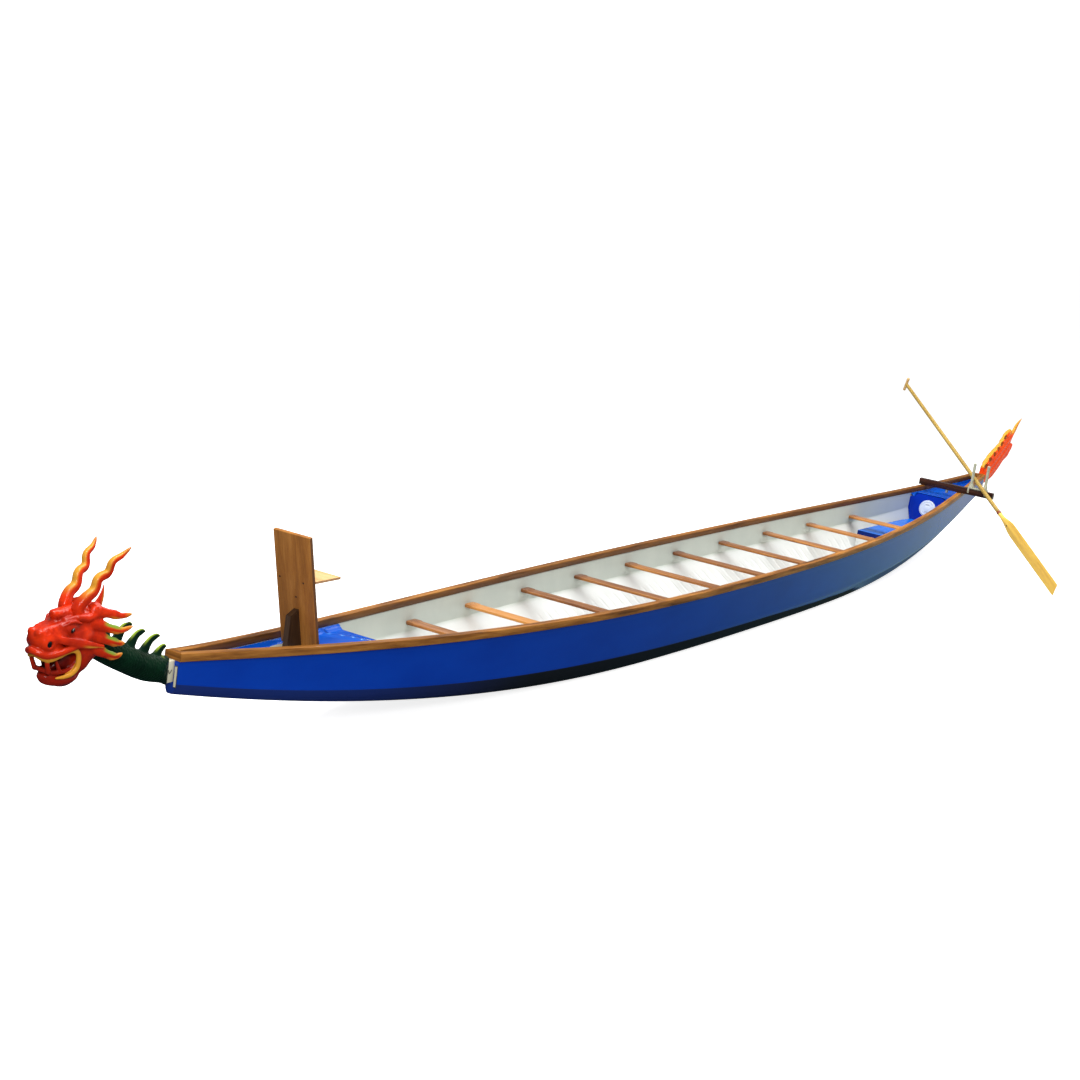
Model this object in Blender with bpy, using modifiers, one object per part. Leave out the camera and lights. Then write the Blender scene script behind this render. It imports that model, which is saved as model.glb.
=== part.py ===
"""A 20-paddler dragon boat with its dragon head, tail, drummer's seat and steering oar.

Metres, +X to the bow, +Y to port, +Z up. The origin is amidships on the centreline,
on the flat of the bottom, where the boat stands on a floor.
"""

import math

import bmesh
import bpy
from mathutils import Matrix, Vector

# Driving dimensions of the hull
HULL_HALF_LENGTH = 6.245
BEAM_HALF = 0.58
BOW_HALF_BREADTH = 0.057
STERN_HALF_BREADTH = 0.070
STATION_COUNT = 65
STATION_CLEAR = 0.02
RAIL_TOP_MIDSHIP = 0.48
CHINE_MIDSHIP = 0.12
KEEL_FLAT_HALF = 1.6
KEEL_END_RISE = 0.46

# Rails, skins and the gap that pieces which touch keep between them
RAIL_WIDTH = 0.050
RAIL_HEIGHT = 0.048
RAIL_BEVEL = 0.005
SKIN_INSET = 0.017
SKIN_THICK = 0.006
LINER_INSET = 0.047
LINER_THICK = 0.004
LINER_END = 5.85
FLOOR_ABOVE_KEEL = 0.030
LINER_KNUCKLE = 0.130
LINER_KNUCKLE_FALL = 0.080
BILGE_SLOPE = 0.69
FLOOR_LEAST = 0.30
FLOOR_LEAST_GROWTH = 0.60
GAP = 0.0003
SEAT_GAP = 0.0008
SKIN_TOP_GAP = 0.0012
SOCKET_GAP = 0.0006
END_RAIL_DEPTH = 0.045
END_RAIL_BEVEL = 0.003
MITRE_GAP = 0.0012
LENGTH_NAMES = ("bow", "fore", "mid", "aft", "stern")
RAIL_CUTS = (2.08, -2.08)
RAIL_NAMES = ("fore", "mid", "aft")

# Benches
BENCH_COUNT = 10
BENCH_FIRST_X = 3.51
BENCH_PITCH = 0.805
BENCH_WIDTH = 0.11
BENCH_THICK = 0.020
BENCH_TOP_MIDSHIP = 0.351
BENCH_SHEER = 0.041 / 16.0

# Skins are cut into lengths under benches 1, 4, 7 and 10
SKIN_CUTS = tuple(BENCH_FIRST_X - BENCH_PITCH * i for i in (0, 3, 6, 9))

# Decks and bulkheads
DECK_THICK = 0.005
DECK_DIP = 0.026
DECK_END = 0.052
AFT_CROWN = 0.045
AFT_CROWN_RUN = 0.40
FOREDECK_AFT = 4.43
FORE_BULKHEAD_X = 4.46
AFT_BULKHEAD_TOP = -4.90
AFT_BULKHEAD_FOOT = -4.80
AFT_BULKHEAD_LOW = 0.16
AFT_BULKHEAD_HIGH = 0.56
BULKHEAD_THICK = 0.010
BULKHEAD_COLUMNS = (1.0, 0.80, 0.66, 0.0, -0.66, -0.80, -1.0)
BULKHEAD_DROP = 0.004
STEER_FLOOR_FRONT = -3.61
STEER_FLOOR_FRONT_HALF = 0.19
STEER_FLOOR_BACK_HALF = 0.17
STEER_FLOOR_TOP = 0.29
FLOOR_PANEL_THICK = 0.006
SKIRT_CLEAR = 0.006
BULKHEAD_CLEAR = 0.004
STEER_SKIRT = 0.015
HATCH_HEIGHT = 0.420
HATCH_RADIUS = 0.083
HATCH_RING_PROUD = 0.008
LID_RADIUS = 0.066
LID_PLUG_DEPTH = 0.004
LID_CAP_SPREAD = 0.007
LID_CAP_TOP = 0.015
LID_CAP_EDGE = 0.002
HATCH_SIDES = 32
CUTTER_REACH = 0.05

# Drummer's seat
BOARD_WIDTH = 0.264
BOARD_THICK = 0.024
BOARD_LEAN = math.radians(15.5)
BOARD_HEAD_X = 5.345
BOARD_HEAD_Z = 1.238
SLOT_PLATE_AFT = 5.06
SLOT_PLATE_FORE = 5.32
SLOT_PLATE_WIDTH = 0.18
SLOT_PLATE_THICK = 0.006
SEAT_TOP = 0.978
SEAT_AFT = 5.011
SEAT_THICK = 0.015
SEAT_FACE_GAP = 0.0006
BOARD_FOOT_Z = 0.54
BOARD_FOOT_GAP = 0.0012
BRACKET_DEPTH = 0.13
BRACKET_REACH = 0.05
BRACKET_TOE = 0.02
KNEE_WIDTH = 0.035
KNEE_FRONT_X = 5.290
KNEE_TOP_AFT = 0.785
KNEE_TOP_FORE = 0.753

# Steering arm, lock and oar
ARM_X = -5.17
ARM_WIDTH = 0.050
ARM_HEIGHT = 0.063
ARM_STARBOARD = -0.235
ARM_PORT = 0.54
LOCK_PLATE = 0.015
LOCK_PLATE_MARGIN = 0.025
PIN_RADIUS = 0.010
PIN_HEIGHT = 0.255
PIN_SPACING = 0.144
OAR_PIVOT = Vector((ARM_X, 0.372, 0.7184))
OAR_HEADING = math.radians(50.0)
OAR_ELEVATION = math.radians(21.8)
OAR_INBOARD = 1.895
OAR_OUTBOARD = 1.750
SHAFT_RADIUS = 0.020
SHAFT_SIDES = 16
BLADE_LENGTH = 1.232
BLADE_WIDTH = 0.132
BLADE_SIDES = 12
# Place along the shaft from the pivot, radius there
SHAFT_STOPS = ((OAR_INBOARD, 0.016), (1.30, 0.017), (0.60, SHAFT_RADIUS))
# Place beyond the neck, half-width and half-thickness there
BLADE_STOPS = (
    (GAP, 0.020, 0.020),
    (0.10, 0.030, 0.017),
    (0.20, 0.056, 0.013),
    (0.28, BLADE_WIDTH / 2.0, 0.010),
    (BLADE_LENGTH, BLADE_WIDTH / 2.0, 0.005),
)
GRIP_REACH = 0.072
GRIP_RADIUS = 0.015

# Dragon head and tail
NECK_FOOT = Vector((6.300, 0.0, 0.605))
NECK_HEAD = Vector((6.860, 0.0, 0.815))
NECK_STEPS = (-0.12, 0.3, 0.7, 1.0)
NECK_RADII = (0.092, 0.088, 0.078, 0.070)
NECK_FLAT = 0.72
FIN_PLACES = (0.06, 0.26, 0.46, 0.66)
# Each fin's spine, as steps along the neck and up from its foot, with the radius there
FIN_SPINE = ((0.03, 0.0, 0.045), (0.02, 0.05, 0.034), (-0.015, 0.085, 0.020), (-0.065, 0.10, 0.005))
FIN_FLAT = 0.35
HORN_FOOT = Vector((7.010, 0.040, 0.985))
HORN_TIP = Vector((6.775, 0.095, 1.350))
HORN_STEPS = 24
HORN_RADIUS = 0.030
HORN_WAVE = 0.016
# Tip of each mane spike, after the height of its root
MANE = (
    (0.96, 6.77, 0.125, 1.000),
    (0.91, 6.755, 0.145, 0.935),
    (0.85, 6.80, 0.135, 0.860),
    (0.79, 6.83, 0.115, 0.800),
)
TAIL_SPINE = (
    (-6.24, 0.0, 0.625),
    (-6.50, 0.0, 0.700),
    (-6.72, 0.0, 0.790),
    (-6.92, 0.0, 0.900),
    (-7.10, 0.0, 1.020),
    (-7.34, 0.0, 1.195),
)
TAIL_RADII = (0.075, 0.085, 0.080, 0.062, 0.045, 0.008)
TAIL_FLAT = 0.42
TAIL_FLAMES = (
    ((-6.42, 0.70), (-6.44, 0.80), (-6.52, 0.87)),
    ((-6.62, 0.78), (-6.68, 0.90), (-6.78, 0.96)),
    ((-6.84, 0.90), (-6.90, 1.02), (-7.01, 1.10)),
    ((-6.98, 0.92), (-7.09, 0.92), (-7.18, 0.96)),
    ((-6.78, 0.78), (-6.90, 0.76), (-7.03, 0.80)),
)
FLAME_RADII = (0.050, 0.034, 0.006)
FLAME_FLAT = 0.40
BOW_SOCKET = (0.100, 0.105, 0.590)
STERN_SOCKET = (0.090, 0.100, 0.585)
TRIM_SIZE = (0.30, 0.40, 0.60)
TRIM_HEIGHT = 0.62

# Colours, linear
BLUE = (0.004, 0.030, 0.320)
DECK_BLUE = (0.003, 0.060, 0.520)
LINER_WHITE = (0.62, 0.66, 0.62)
RAIL_BROWN = (0.26, 0.085, 0.022)
PLY_BROWN = (0.22, 0.10, 0.030)
PLY_PALE = (0.70, 0.46, 0.22)
DARK_BROWN = (0.035, 0.012, 0.008)
OAR_YELLOW = (0.66, 0.38, 0.075)
PALE_METAL = (0.55, 0.55, 0.45)
DRAGON_RED = (0.72, 0.045, 0.008)
DRAGON_GREEN = (0.006, 0.035, 0.012)
HORN_YELLOW = (0.85, 0.42, 0.03)
CREAM = (0.70, 0.66, 0.50)
WHITE = (0.80, 0.80, 0.78)


def clear_scene():
    for obj in list(bpy.data.objects):
        bpy.data.objects.remove(obj, do_unlink=True)


def make_collection(name, hidden=False):
    collection = bpy.data.collections.new(name)
    bpy.context.scene.collection.children.link(collection)
    collection.hide_render = hidden
    return collection


clear_scene()
BOAT = make_collection("dragon_boat")
CUTTERS = make_collection("cutters", hidden=True)
MATERIALS = {}


def material(name, colour, roughness, metallic=0.0):
    """The named Principled material, made once."""
    if name not in MATERIALS:
        made = bpy.data.materials.new(name)
        made.use_nodes = True
        shader = made.node_tree.nodes["Principled BSDF"]
        shader.inputs["Base Color"].default_value = (*colour, 1.0)
        shader.inputs["Roughness"].default_value = roughness
        shader.inputs["Metallic"].default_value = metallic
        made.diffuse_color = (*colour, 1.0)
        MATERIALS[name] = made
    return MATERIALS[name]


def finish_mesh(bm, name, look, collection=None, sharp=40.0, closed=True):
    """Turns a bmesh into a named object, with outward faces and smooth round sides."""
    if closed:
        bmesh.ops.recalc_face_normals(bm, faces=bm.faces)
    mesh = bpy.data.meshes.new(name)
    bm.to_mesh(mesh)
    bm.free()
    mesh.shade_smooth()
    mesh.set_sharp_from_angle(angle=math.radians(sharp))
    obj = bpy.data.objects.new(name, mesh)
    (collection or BOAT).objects.link(obj)
    if look:
        mesh.materials.append(look)
    return obj


def hide_cutter(obj):
    obj.hide_render = True
    obj.display_type = "WIRE"
    return obj


def cut(obj, cutter, operation="DIFFERENCE"):
    modifier = obj.modifiers.new("cut_" + cutter.name, "BOOLEAN")
    modifier.operation = operation
    modifier.solver = "EXACT"
    modifier.object = cutter


def bevel(obj, width, segments=2, angle=30.0):
    modifier = obj.modifiers.new("edges", "BEVEL")
    modifier.width = width
    modifier.segments = segments
    modifier.limit_method = "ANGLE"
    modifier.angle_limit = math.radians(angle)
    return obj


def box(name, size, centre, look, turn=None, collection=None):
    """A box of the given size, turned by a matrix about its centre."""
    bm = bmesh.new()
    bmesh.ops.create_cube(bm, size=1.0)
    bmesh.ops.scale(bm, vec=Vector(size), verts=bm.verts)
    obj = finish_mesh(bm, name, look, collection)
    obj.matrix_world = Matrix.Translation(centre) @ (turn or Matrix.Identity(4))
    return obj


def cylinder(name, radius, start, end, look, collection=None, sides=20):
    """A round bar between two points."""
    axis = Vector(end) - Vector(start)
    bm = bmesh.new()
    bmesh.ops.create_cone(
        bm,
        cap_ends=True,
        segments=sides,
        radius1=radius,
        radius2=radius,
        depth=axis.length,
    )
    obj = finish_mesh(bm, name, look, collection)
    turn = axis.to_track_quat("Z", "Y").to_matrix().to_4x4()
    obj.matrix_world = Matrix.Translation((Vector(start) + Vector(end)) / 2.0) @ turn
    return obj


def fill_rows(bm, rows, closed=False):
    """Joins rows of points with quads, and returns the rows of vertices."""
    made = [[bm.verts.new(point) for point in row] for row in rows]
    for lower, upper in zip(made, made[1:]):
        count = len(lower)
        for i in range(count if closed else count - 1):
            j = (i + 1) % count
            bm.faces.new((lower[i], lower[j], upper[j], upper[i]))
    return made


def face_away_from(bm, point):
    """Turns the faces of an open surface, as a whole, away from a point behind it."""
    bmesh.ops.recalc_face_normals(bm, faces=bm.faces)
    point = Vector(point)
    sums = [f.normal.dot(f.calc_center_median() - point) * f.calc_area() for f in bm.faces]
    if sum(sums) < 0.0:
        bmesh.ops.reverse_faces(bm, faces=bm.faces)


def sheet(name, rows, look, behind, thickness, end_faces=(False, False)):
    """A skin through rows of points. Its thickness goes towards the point behind it."""
    bm = bmesh.new()
    made = fill_rows(bm, rows)
    for row, wanted in zip((made[0], made[-1]), end_faces):
        if wanted:
            bm.faces.new(row)
    bm.normal_update()
    face_away_from(bm, behind)
    obj = finish_mesh(bm, name, look, closed=False)
    modifier = obj.modifiers.new("thickness", "SOLIDIFY")
    modifier.thickness = abs(thickness)
    modifier.offset = -1.0 if thickness > 0.0 else 1.0
    modifier.use_even_offset = True
    return obj


def loft(name, rings, look):
    """A closed solid through closed rings of points."""
    bm = bmesh.new()
    made = fill_rows(bm, rings, closed=True)
    bm.faces.new(made[0])
    bm.faces.new(made[-1])
    return finish_mesh(bm, name, look)


def mirrored(half):
    """A port half section, top to centreline, carried over to starboard."""
    starboard = [(x, -y, z) for x, y, z in reversed(half) if y > 0.0]
    return half + starboard


def spread(start, end, count):
    return [start + (end - start) * i / (count - 1) for i in range(count)]


# Lines of the hull, each a function of the place along it


def along(x):
    return min(abs(x) / HULL_HALF_LENGTH, 1.0)


def rail_top(x):
    rise, power = (0.214, 2.7) if x > 0.0 else (0.190, 2.5)
    return RAIL_TOP_MIDSHIP + rise * along(x) ** power


def rail_breadth(x):
    end = BOW_HALF_BREADTH if x > 0.0 else STERN_HALF_BREADTH
    return end + (BEAM_HALF - end) * (1.0 - along(x) ** 2.4) ** 1.25


def chine_height(x):
    rise = 0.400 if x > 0.0 else 0.370
    return CHINE_MIDSHIP + rise * along(x) ** 3.3


def keel_height(x):
    run = max(0.0, abs(x) - KEEL_FLAT_HALF) / (HULL_HALF_LENGTH - KEEL_FLAT_HALF)
    return KEEL_END_RISE * run**2.3


def skin_breadth(x):
    taper = along(x) ** 6.0
    return rail_breadth(x) - SKIN_INSET * (1.0 - 0.4 * taper)


def chine_breadth(x):
    taper = along(x) ** 4.0
    return skin_breadth(x) - 0.033 * (1.0 - taper) - 0.009 * taper


def bottom_breadth(x):
    return chine_breadth(x) * (0.80 - 0.50 * along(x) ** 3.0)


def skin_section(x):
    """Outer skin from the port rail round the bottom to the starboard rail."""
    top = rail_top(x) - RAIL_HEIGHT - SKIN_TOP_GAP
    chine = (chine_breadth(x), chine_height(x))
    foot = (bottom_breadth(x), keel_height(x))
    half = [
        (x, skin_breadth(x), top),
        (x, *chine),
        (x, foot[0] + 0.72 * (chine[0] - foot[0]), foot[1] + 0.36 * (chine[1] - foot[1])),
        (x, foot[0] + 0.40 * (chine[0] - foot[0]), foot[1] + 0.10 * (chine[1] - foot[1])),
        (x, *foot),
        (x, 0.0, foot[1]),
    ]
    return mirrored(half)


def liner_top(x):
    return rail_breadth(x) - LINER_INSET, rail_top(x) - RAIL_HEIGHT - GAP


def liner_knuckle(x):
    """Where the inner wall ends and the sloping bilge of the liner begins."""
    top_y, top_z = liner_top(x)
    wall_y, wall_z = max(chine_breadth(x) - 0.030, 0.012), chine_height(x) + 0.010
    rise = LINER_KNUCKLE - LINER_KNUCKLE_FALL * along(x) ** 4.0
    return wall_y + (top_y - wall_y) * rise / (top_z - wall_z), wall_z + rise


def floor_height(x):
    return keel_height(x) + FLOOR_ABOVE_KEEL


def floor_edge(x):
    knuckle_y, knuckle_z = liner_knuckle(x)
    run = (knuckle_z - floor_height(x)) / BILGE_SLOPE
    least = FLOOR_LEAST + FLOOR_LEAST_GROWTH * along(x) ** 2.0
    return max(knuckle_y - run, least * knuckle_y), floor_height(x)


def liner_section(x):
    half = [
        (x, *liner_top(x)),
        (x, *liner_knuckle(x)),
        (x, *floor_edge(x)),
        (x, 0.0, floor_height(x)),
    ]
    return mirrored(half)


def hull_stations():
    """Closer together towards the ends, where the lines turn fastest."""
    steps = spread(-1.0, 1.0, STATION_COUNT)
    return [HULL_HALF_LENGTH * math.sin(step * math.pi / 2.0) for step in steps]


def between_stations(section, x):
    """A section on the straight runs between the stations, where the skins really lie."""
    stations = hull_stations()
    i = next(k for k in range(1, len(stations)) if stations[k] >= x - 1e-9)
    start, end = stations[i - 1], stations[i]
    share = (x - start) / (end - start)
    return [Vector(a).lerp(Vector(b), share) for a, b in zip(section(start), section(end))]


def liner_breadth(x, z):
    """Half-breadth of the liner's inner face at height z."""
    wall = between_stations(liner_section, x)[:4]
    for upper, lower in zip(wall, wall[1:]):
        if z >= lower.z:
            return lower.y + (upper.y - lower.y) * (z - lower.z) / (upper.z - lower.z)
    return 0.0


def rail_foot(x):
    return between_stations(liner_section, x)[0].z


def clear_breadth(x, z, back=0.0):
    """Half-breadth for a level plate whose lower face lies back metres further down."""
    return min(upright_breadth(x, z, back), liner_breadth(x, z - back) - SEAT_GAP)


def upright_breadth(x, z, back, drop=0.0):
    """Half-breadth for a plate whose rear face lies back metres nearer the end, and drop lower."""
    end = math.copysign(back, x)
    return min(liner_breadth(x, z - drop), liner_breadth(x + end, z - drop)) - SEAT_GAP


def liner_height(x, breadth):
    """Height of the liner's inner face at a half-breadth."""
    wall = between_stations(liner_section, x)[:4]
    for upper, lower in zip(wall, wall[1:]):
        if breadth >= lower.y:
            return lower.z + (upper.z - lower.z) * (breadth - lower.y) / (upper.y - lower.y)
    return wall[-1].z


def in_lengths(start, end, cuts, gap):
    """Station places from start to end for each length between the cuts, bow first."""
    edges = [end] + list(cuts) + [start]
    lengths = []
    for i, (fore, aft) in enumerate(zip(edges, edges[1:])):
        fore -= gap / 2.0 if i > 0 else 0.0
        aft += gap / 2.0 if i < len(cuts) else 0.0
        between = [x for x in hull_stations() if aft + STATION_CLEAR < x < fore - STATION_CLEAR]
        lengths.append([aft] + between + [fore])
    return lengths


def chord_section(section, x):
    """A section as plain tuples, on the straight runs between the stations."""
    return [tuple(point) for point in between_stations(section, x)]


def make_hull():
    look = material("hull_blue", BLUE, 0.12)
    lengths = in_lengths(-HULL_HALF_LENGTH, HULL_HALF_LENGTH, SKIN_CUTS, GAP)
    for name, stations in zip(LENGTH_NAMES, lengths):
        rows = [chord_section(skin_section, x) for x in stations]
        inside = (sum(stations[::len(stations) - 1]) / 2.0, 0.0, RAIL_TOP_MIDSHIP)
        ends = (name == "stern", name == "bow")
        sheet("hull_shell_" + name, rows, look, inside, SKIN_THICK, ends)


def make_liner():
    look = material("liner_white", LINER_WHITE, 0.45)
    for name, stations in zip(LENGTH_NAMES, in_lengths(-LINER_END, LINER_END, SKIN_CUTS, GAP)):
        rows = [chord_section(liner_section, x) for x in stations]
        inside = (sum(stations[::len(stations) - 1]) / 2.0, 0.0, RAIL_TOP_MIDSHIP)
        sheet("inner_liner_" + name, rows, look, inside, -LINER_THICK)


def rail_section(x):
    """Port rail, as outer top, inner top, inner foot and outer foot."""
    outer = rail_breadth(x)
    inner = outer - RAIL_WIDTH
    top = rail_top(x)
    foot = top - RAIL_HEIGHT
    return [(x, outer, top), (x, inner, top), (x, inner, foot), (x, outer, foot)]


def mitred(ring, end):
    """A rail's last section, whose outer corners run on to the end of the boat."""
    tip = chord_section(rail_section, end * (HULL_HALF_LENGTH - GAP))
    return [tip[0], ring[1], ring[2], tip[3]]


def make_rails():
    look = material("rail_wood", RAIL_BROWN, 0.35)
    reach = HULL_HALF_LENGTH - END_RAIL_DEPTH
    for side_name, side in (("port", 1.0), ("starboard", -1.0)):
        for name, stations in zip(RAIL_NAMES, in_lengths(-reach, reach, RAIL_CUTS, GAP)):
            rings = [chord_section(rail_section, x) for x in stations]
            if name == "fore":
                rings[-1] = mitred(rings[-1], 1.0)
            if name == "aft":
                rings[0] = mitred(rings[0], -1.0)
            rings = [[(x, y * side, z) for x, y, z in ring] for ring in rings]
            bevel(loft(f"rail_{side_name}_{name}", rings, look), RAIL_BEVEL, 1)
    for name, end in (("rail_bow", 1.0), ("rail_stern", -1.0)):
        top = rail_top(end * HULL_HALF_LENGTH)
        tip = rail_breadth(end * HULL_HALF_LENGTH) - MITRE_GAP
        root = rail_section(end * reach)[1][1] - MITRE_GAP
        outline = [
            (end * HULL_HALF_LENGTH, tip),
            (end * reach, root),
            (end * reach, -root),
            (end * HULL_HALF_LENGTH, -tip),
        ]
        rings = [[(x, y, z) for x, y in outline] for z in (top - RAIL_HEIGHT, top)]
        bevel(loft(name, rings, look), END_RAIL_BEVEL, 1)


def bench_top(x):
    return BENCH_TOP_MIDSHIP + BENCH_SHEER * x * x


def make_benches():
    look = material("bench_wood", RAIL_BROWN, 0.30)
    for i in range(BENCH_COUNT):
        centre = BENCH_FIRST_X - BENCH_PITCH * i
        top = bench_top(centre)
        rings = []
        for x in (centre - BENCH_WIDTH / 2.0, centre + BENCH_WIDTH / 2.0):
            upper = clear_breadth(x, top)
            lower = clear_breadth(x, top - BENCH_THICK)
            foot = top - BENCH_THICK
            rings.append([(x, upper, top), (x, -upper, top), (x, -lower, foot), (x, lower, foot)])
        bevel(loft(f"bench_{i + 1:02d}", rings, look), 0.006, 2)


def deck_section(x):
    """A gutter along each rail and a lower middle, which rises at the aft deck's front."""
    top = rail_foot(x) - SEAT_GAP
    edge = clear_breadth(x, top, DECK_THICK / 2.0)
    crown = AFT_CROWN * max(0.0, 1.0 - (AFT_BULKHEAD_TOP - x) / AFT_CROWN_RUN) if x < 0.0 else 0.0
    half = [
        (x, edge, top),
        (x, edge * 0.93, top),
        (x, edge * 0.86, top - DECK_DIP * 0.8),
        (x, edge * 0.70, top - DECK_DIP + crown),
        (x, 0.0, top - DECK_DIP * 0.9 + crown),
    ]
    return mirrored(half)


def deck_middle(x):
    return deck_section(x)[4][2]


def deck_underside(x, places):
    """Lowest underside of the deck at the given places in its section, with the gap kept there."""
    section = deck_section(x)
    return min(section[i][2] for i in places) - DECK_THICK - 2.0 * SEAT_GAP


def make_deck(name, start, end, look):
    between = [x for x in hull_stations() if start + STATION_CLEAR < x < end - STATION_CLEAR]
    rows = [deck_section(x) for x in [start] + between + [end]]
    sheet(name, rows, look, ((start + end) / 2.0, 0.0, 0.0), DECK_THICK)


def bulkhead_rows(x_of_height, foot, low_top, high_top, drop=0.0):
    """Rows of a plate between the liner's walls. Its middle columns go up to high_top."""
    made = []
    for step in spread(0.0, 1.0, 6):
        low = foot + (low_top - foot) * step
        high = foot + (high_top - foot) * step
        breadth = upright_breadth(x_of_height(low), low, BULKHEAD_THICK, drop)
        heights = [low if abs(s) > 0.7 else high for s in BULKHEAD_COLUMNS]
        made.append([(x_of_height(z), breadth * s, z) for s, z in zip(BULKHEAD_COLUMNS, heights)])
    return made


def aft_bulkhead_x(z):
    share = (z - AFT_BULKHEAD_LOW) / (AFT_BULKHEAD_HIGH - AFT_BULKHEAD_LOW)
    return AFT_BULKHEAD_FOOT + (AFT_BULKHEAD_TOP - AFT_BULKHEAD_FOOT) * share


def make_decks():
    deck_look = material("deck_blue", DECK_BLUE, 0.12)
    liner_look = material("bulkhead_white", LINER_WHITE, 0.45)
    bow_end = HULL_HALF_LENGTH - DECK_END
    make_deck("foredeck", FOREDECK_AFT, bow_end, deck_look)
    make_deck("aft_deck", -bow_end, AFT_BULKHEAD_TOP, deck_look)

    foot = floor_height(FORE_BULKHEAD_X + 3.0 * BULKHEAD_THICK) + BULKHEAD_DROP
    top = deck_underside(FORE_BULKHEAD_X, (2, 3, 4))
    rows = bulkhead_rows(lambda z: FORE_BULKHEAD_X, foot, top, top, BULKHEAD_DROP)
    behind = (FORE_BULKHEAD_X + 1.0, 0.0, 0.3)
    sheet("fore_bulkhead", rows, liner_look, behind, BULKHEAD_THICK)


def make_aft_bulkhead():
    look = material("bulkhead_blue", DECK_BLUE, 0.12)
    foot = floor_height(AFT_BULKHEAD_FOOT - 3.0 * BULKHEAD_THICK) + BULKHEAD_DROP
    low_top = deck_underside(AFT_BULKHEAD_TOP, (2,))
    high_top = deck_underside(AFT_BULKHEAD_TOP, (3, 4))
    behind = (AFT_BULKHEAD_TOP - 1.0, 0.0, 0.3)
    rows = bulkhead_rows(aft_bulkhead_x, foot, low_top, high_top, BULKHEAD_DROP)
    plate = sheet("aft_bulkhead", rows, look, behind, BULKHEAD_THICK)
    rise = AFT_BULKHEAD_HIGH - AFT_BULKHEAD_LOW
    slope = Vector((AFT_BULKHEAD_TOP - AFT_BULKHEAD_FOOT, 0.0, rise)).normalized()
    normal = Vector((slope.z, 0.0, -slope.x))
    centre = Vector((aft_bulkhead_x(HATCH_HEIGHT), 0.0, HATCH_HEIGHT))
    start, end = centre - normal * CUTTER_REACH, centre + normal * CUTTER_REACH
    hole = cylinder("hatch_hole", LID_RADIUS + 0.006, start, end, None, CUTTERS, HATCH_SIDES)
    cut(plate, hide_cutter(hole))
    return centre, normal


def circle(count, offset=0.0):
    """Cosine and sine of each corner of a regular polygon."""
    turns = [2.0 * math.pi * (k + offset) / count for k in range(count)]
    return [(math.cos(t), math.sin(t)) for t in turns]


def make_hatch(centre, normal):
    look = material("hatch_white", WHITE, 0.35)
    start, end = centre + normal * GAP, centre + normal * HATCH_RING_PROUD
    ring = cylinder("hatch_ring", HATCH_RADIUS, start, end, look, None, HATCH_SIDES)
    start, end = centre - normal * CUTTER_REACH, centre + normal * CUTTER_REACH
    bore = cylinder("hatch_bore", LID_RADIUS + 0.002, start, end, None, CUTTERS, HATCH_SIDES)
    cut(ring, hide_cutter(bore))
    plug = LID_RADIUS - LID_PLUG_DEPTH
    cap = LID_RADIUS + LID_CAP_SPREAD
    seat = HATCH_RING_PROUD + GAP
    profile = (
        (-LID_PLUG_DEPTH, plug),
        (seat, plug),
        (seat, cap),
        (LID_CAP_TOP - LID_CAP_EDGE, cap),
        (LID_CAP_TOP, cap - 2.0 * LID_CAP_EDGE),
    )
    rings = []
    for height, radius in profile:
        rings.append([(radius * c, radius * s, height) for c, s in circle(HATCH_SIDES)])
    lid = loft("hatch_lid", rings, look)
    turn = normal.to_track_quat("Z", "Y").to_matrix().to_4x4()
    lid.matrix_world = Matrix.Translation(centre) @ turn


def steer_floor_half(x):
    """Half-breadth of the raised floor, which narrows a little towards the stern."""
    share = (x - STEER_FLOOR_FRONT) / (AFT_BULKHEAD_FOOT - STEER_FLOOR_FRONT)
    wanted = STEER_FLOOR_FRONT_HALF + (STEER_FLOOR_BACK_HALF - STEER_FLOOR_FRONT_HALF) * share
    limit = clear_breadth(x, STEER_FLOOR_TOP - STEER_SKIRT, FLOOR_PANEL_THICK) - 2.0 * SEAT_GAP
    return min(wanted, limit)


def steer_floor_section(x, at_bulkhead=False):
    """Skirt, flat top and skirt of the raised floor, which stands on the sloping bilge."""
    half = steer_floor_half(x)
    low = liner_height(x, half) + SKIRT_CLEAR
    points = [(half, low), (half, STEER_FLOOR_TOP), (0.0, STEER_FLOOR_TOP)]
    if at_bulkhead:
        row = [(aft_bulkhead_x(z) + BULKHEAD_CLEAR, y, z) for y, z in points]
    else:
        row = [(x, y, z) for y, z in points]
    return mirrored(row)


def make_steer_floor():
    look = material("floor_blue", DECK_BLUE, 0.15)
    back = aft_bulkhead_x(STEER_FLOOR_TOP) + BULKHEAD_CLEAR
    stations = spread(STEER_FLOOR_FRONT, back, 9)[:-1]
    rows = [steer_floor_section(x) for x in stations]
    rows.append(steer_floor_section(back, at_bulkhead=True))
    sheet("steer_floor", rows, look, (-4.2, 0.0, 0.0), FLOOR_PANEL_THICK, (True, False))


def board_front(z):
    """The front face of the leaning board at height z."""
    return BOARD_HEAD_X + (z - BOARD_HEAD_Z) * math.tan(BOARD_LEAN)


def across_boat(name, outline, width, look):
    """A plate with the given outline in x and z, centred on the boat's middle."""
    rings = [[(x, y, z) for x, z in outline] for y in (-width / 2.0, width / 2.0)]
    return loft(name, rings, look)


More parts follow.
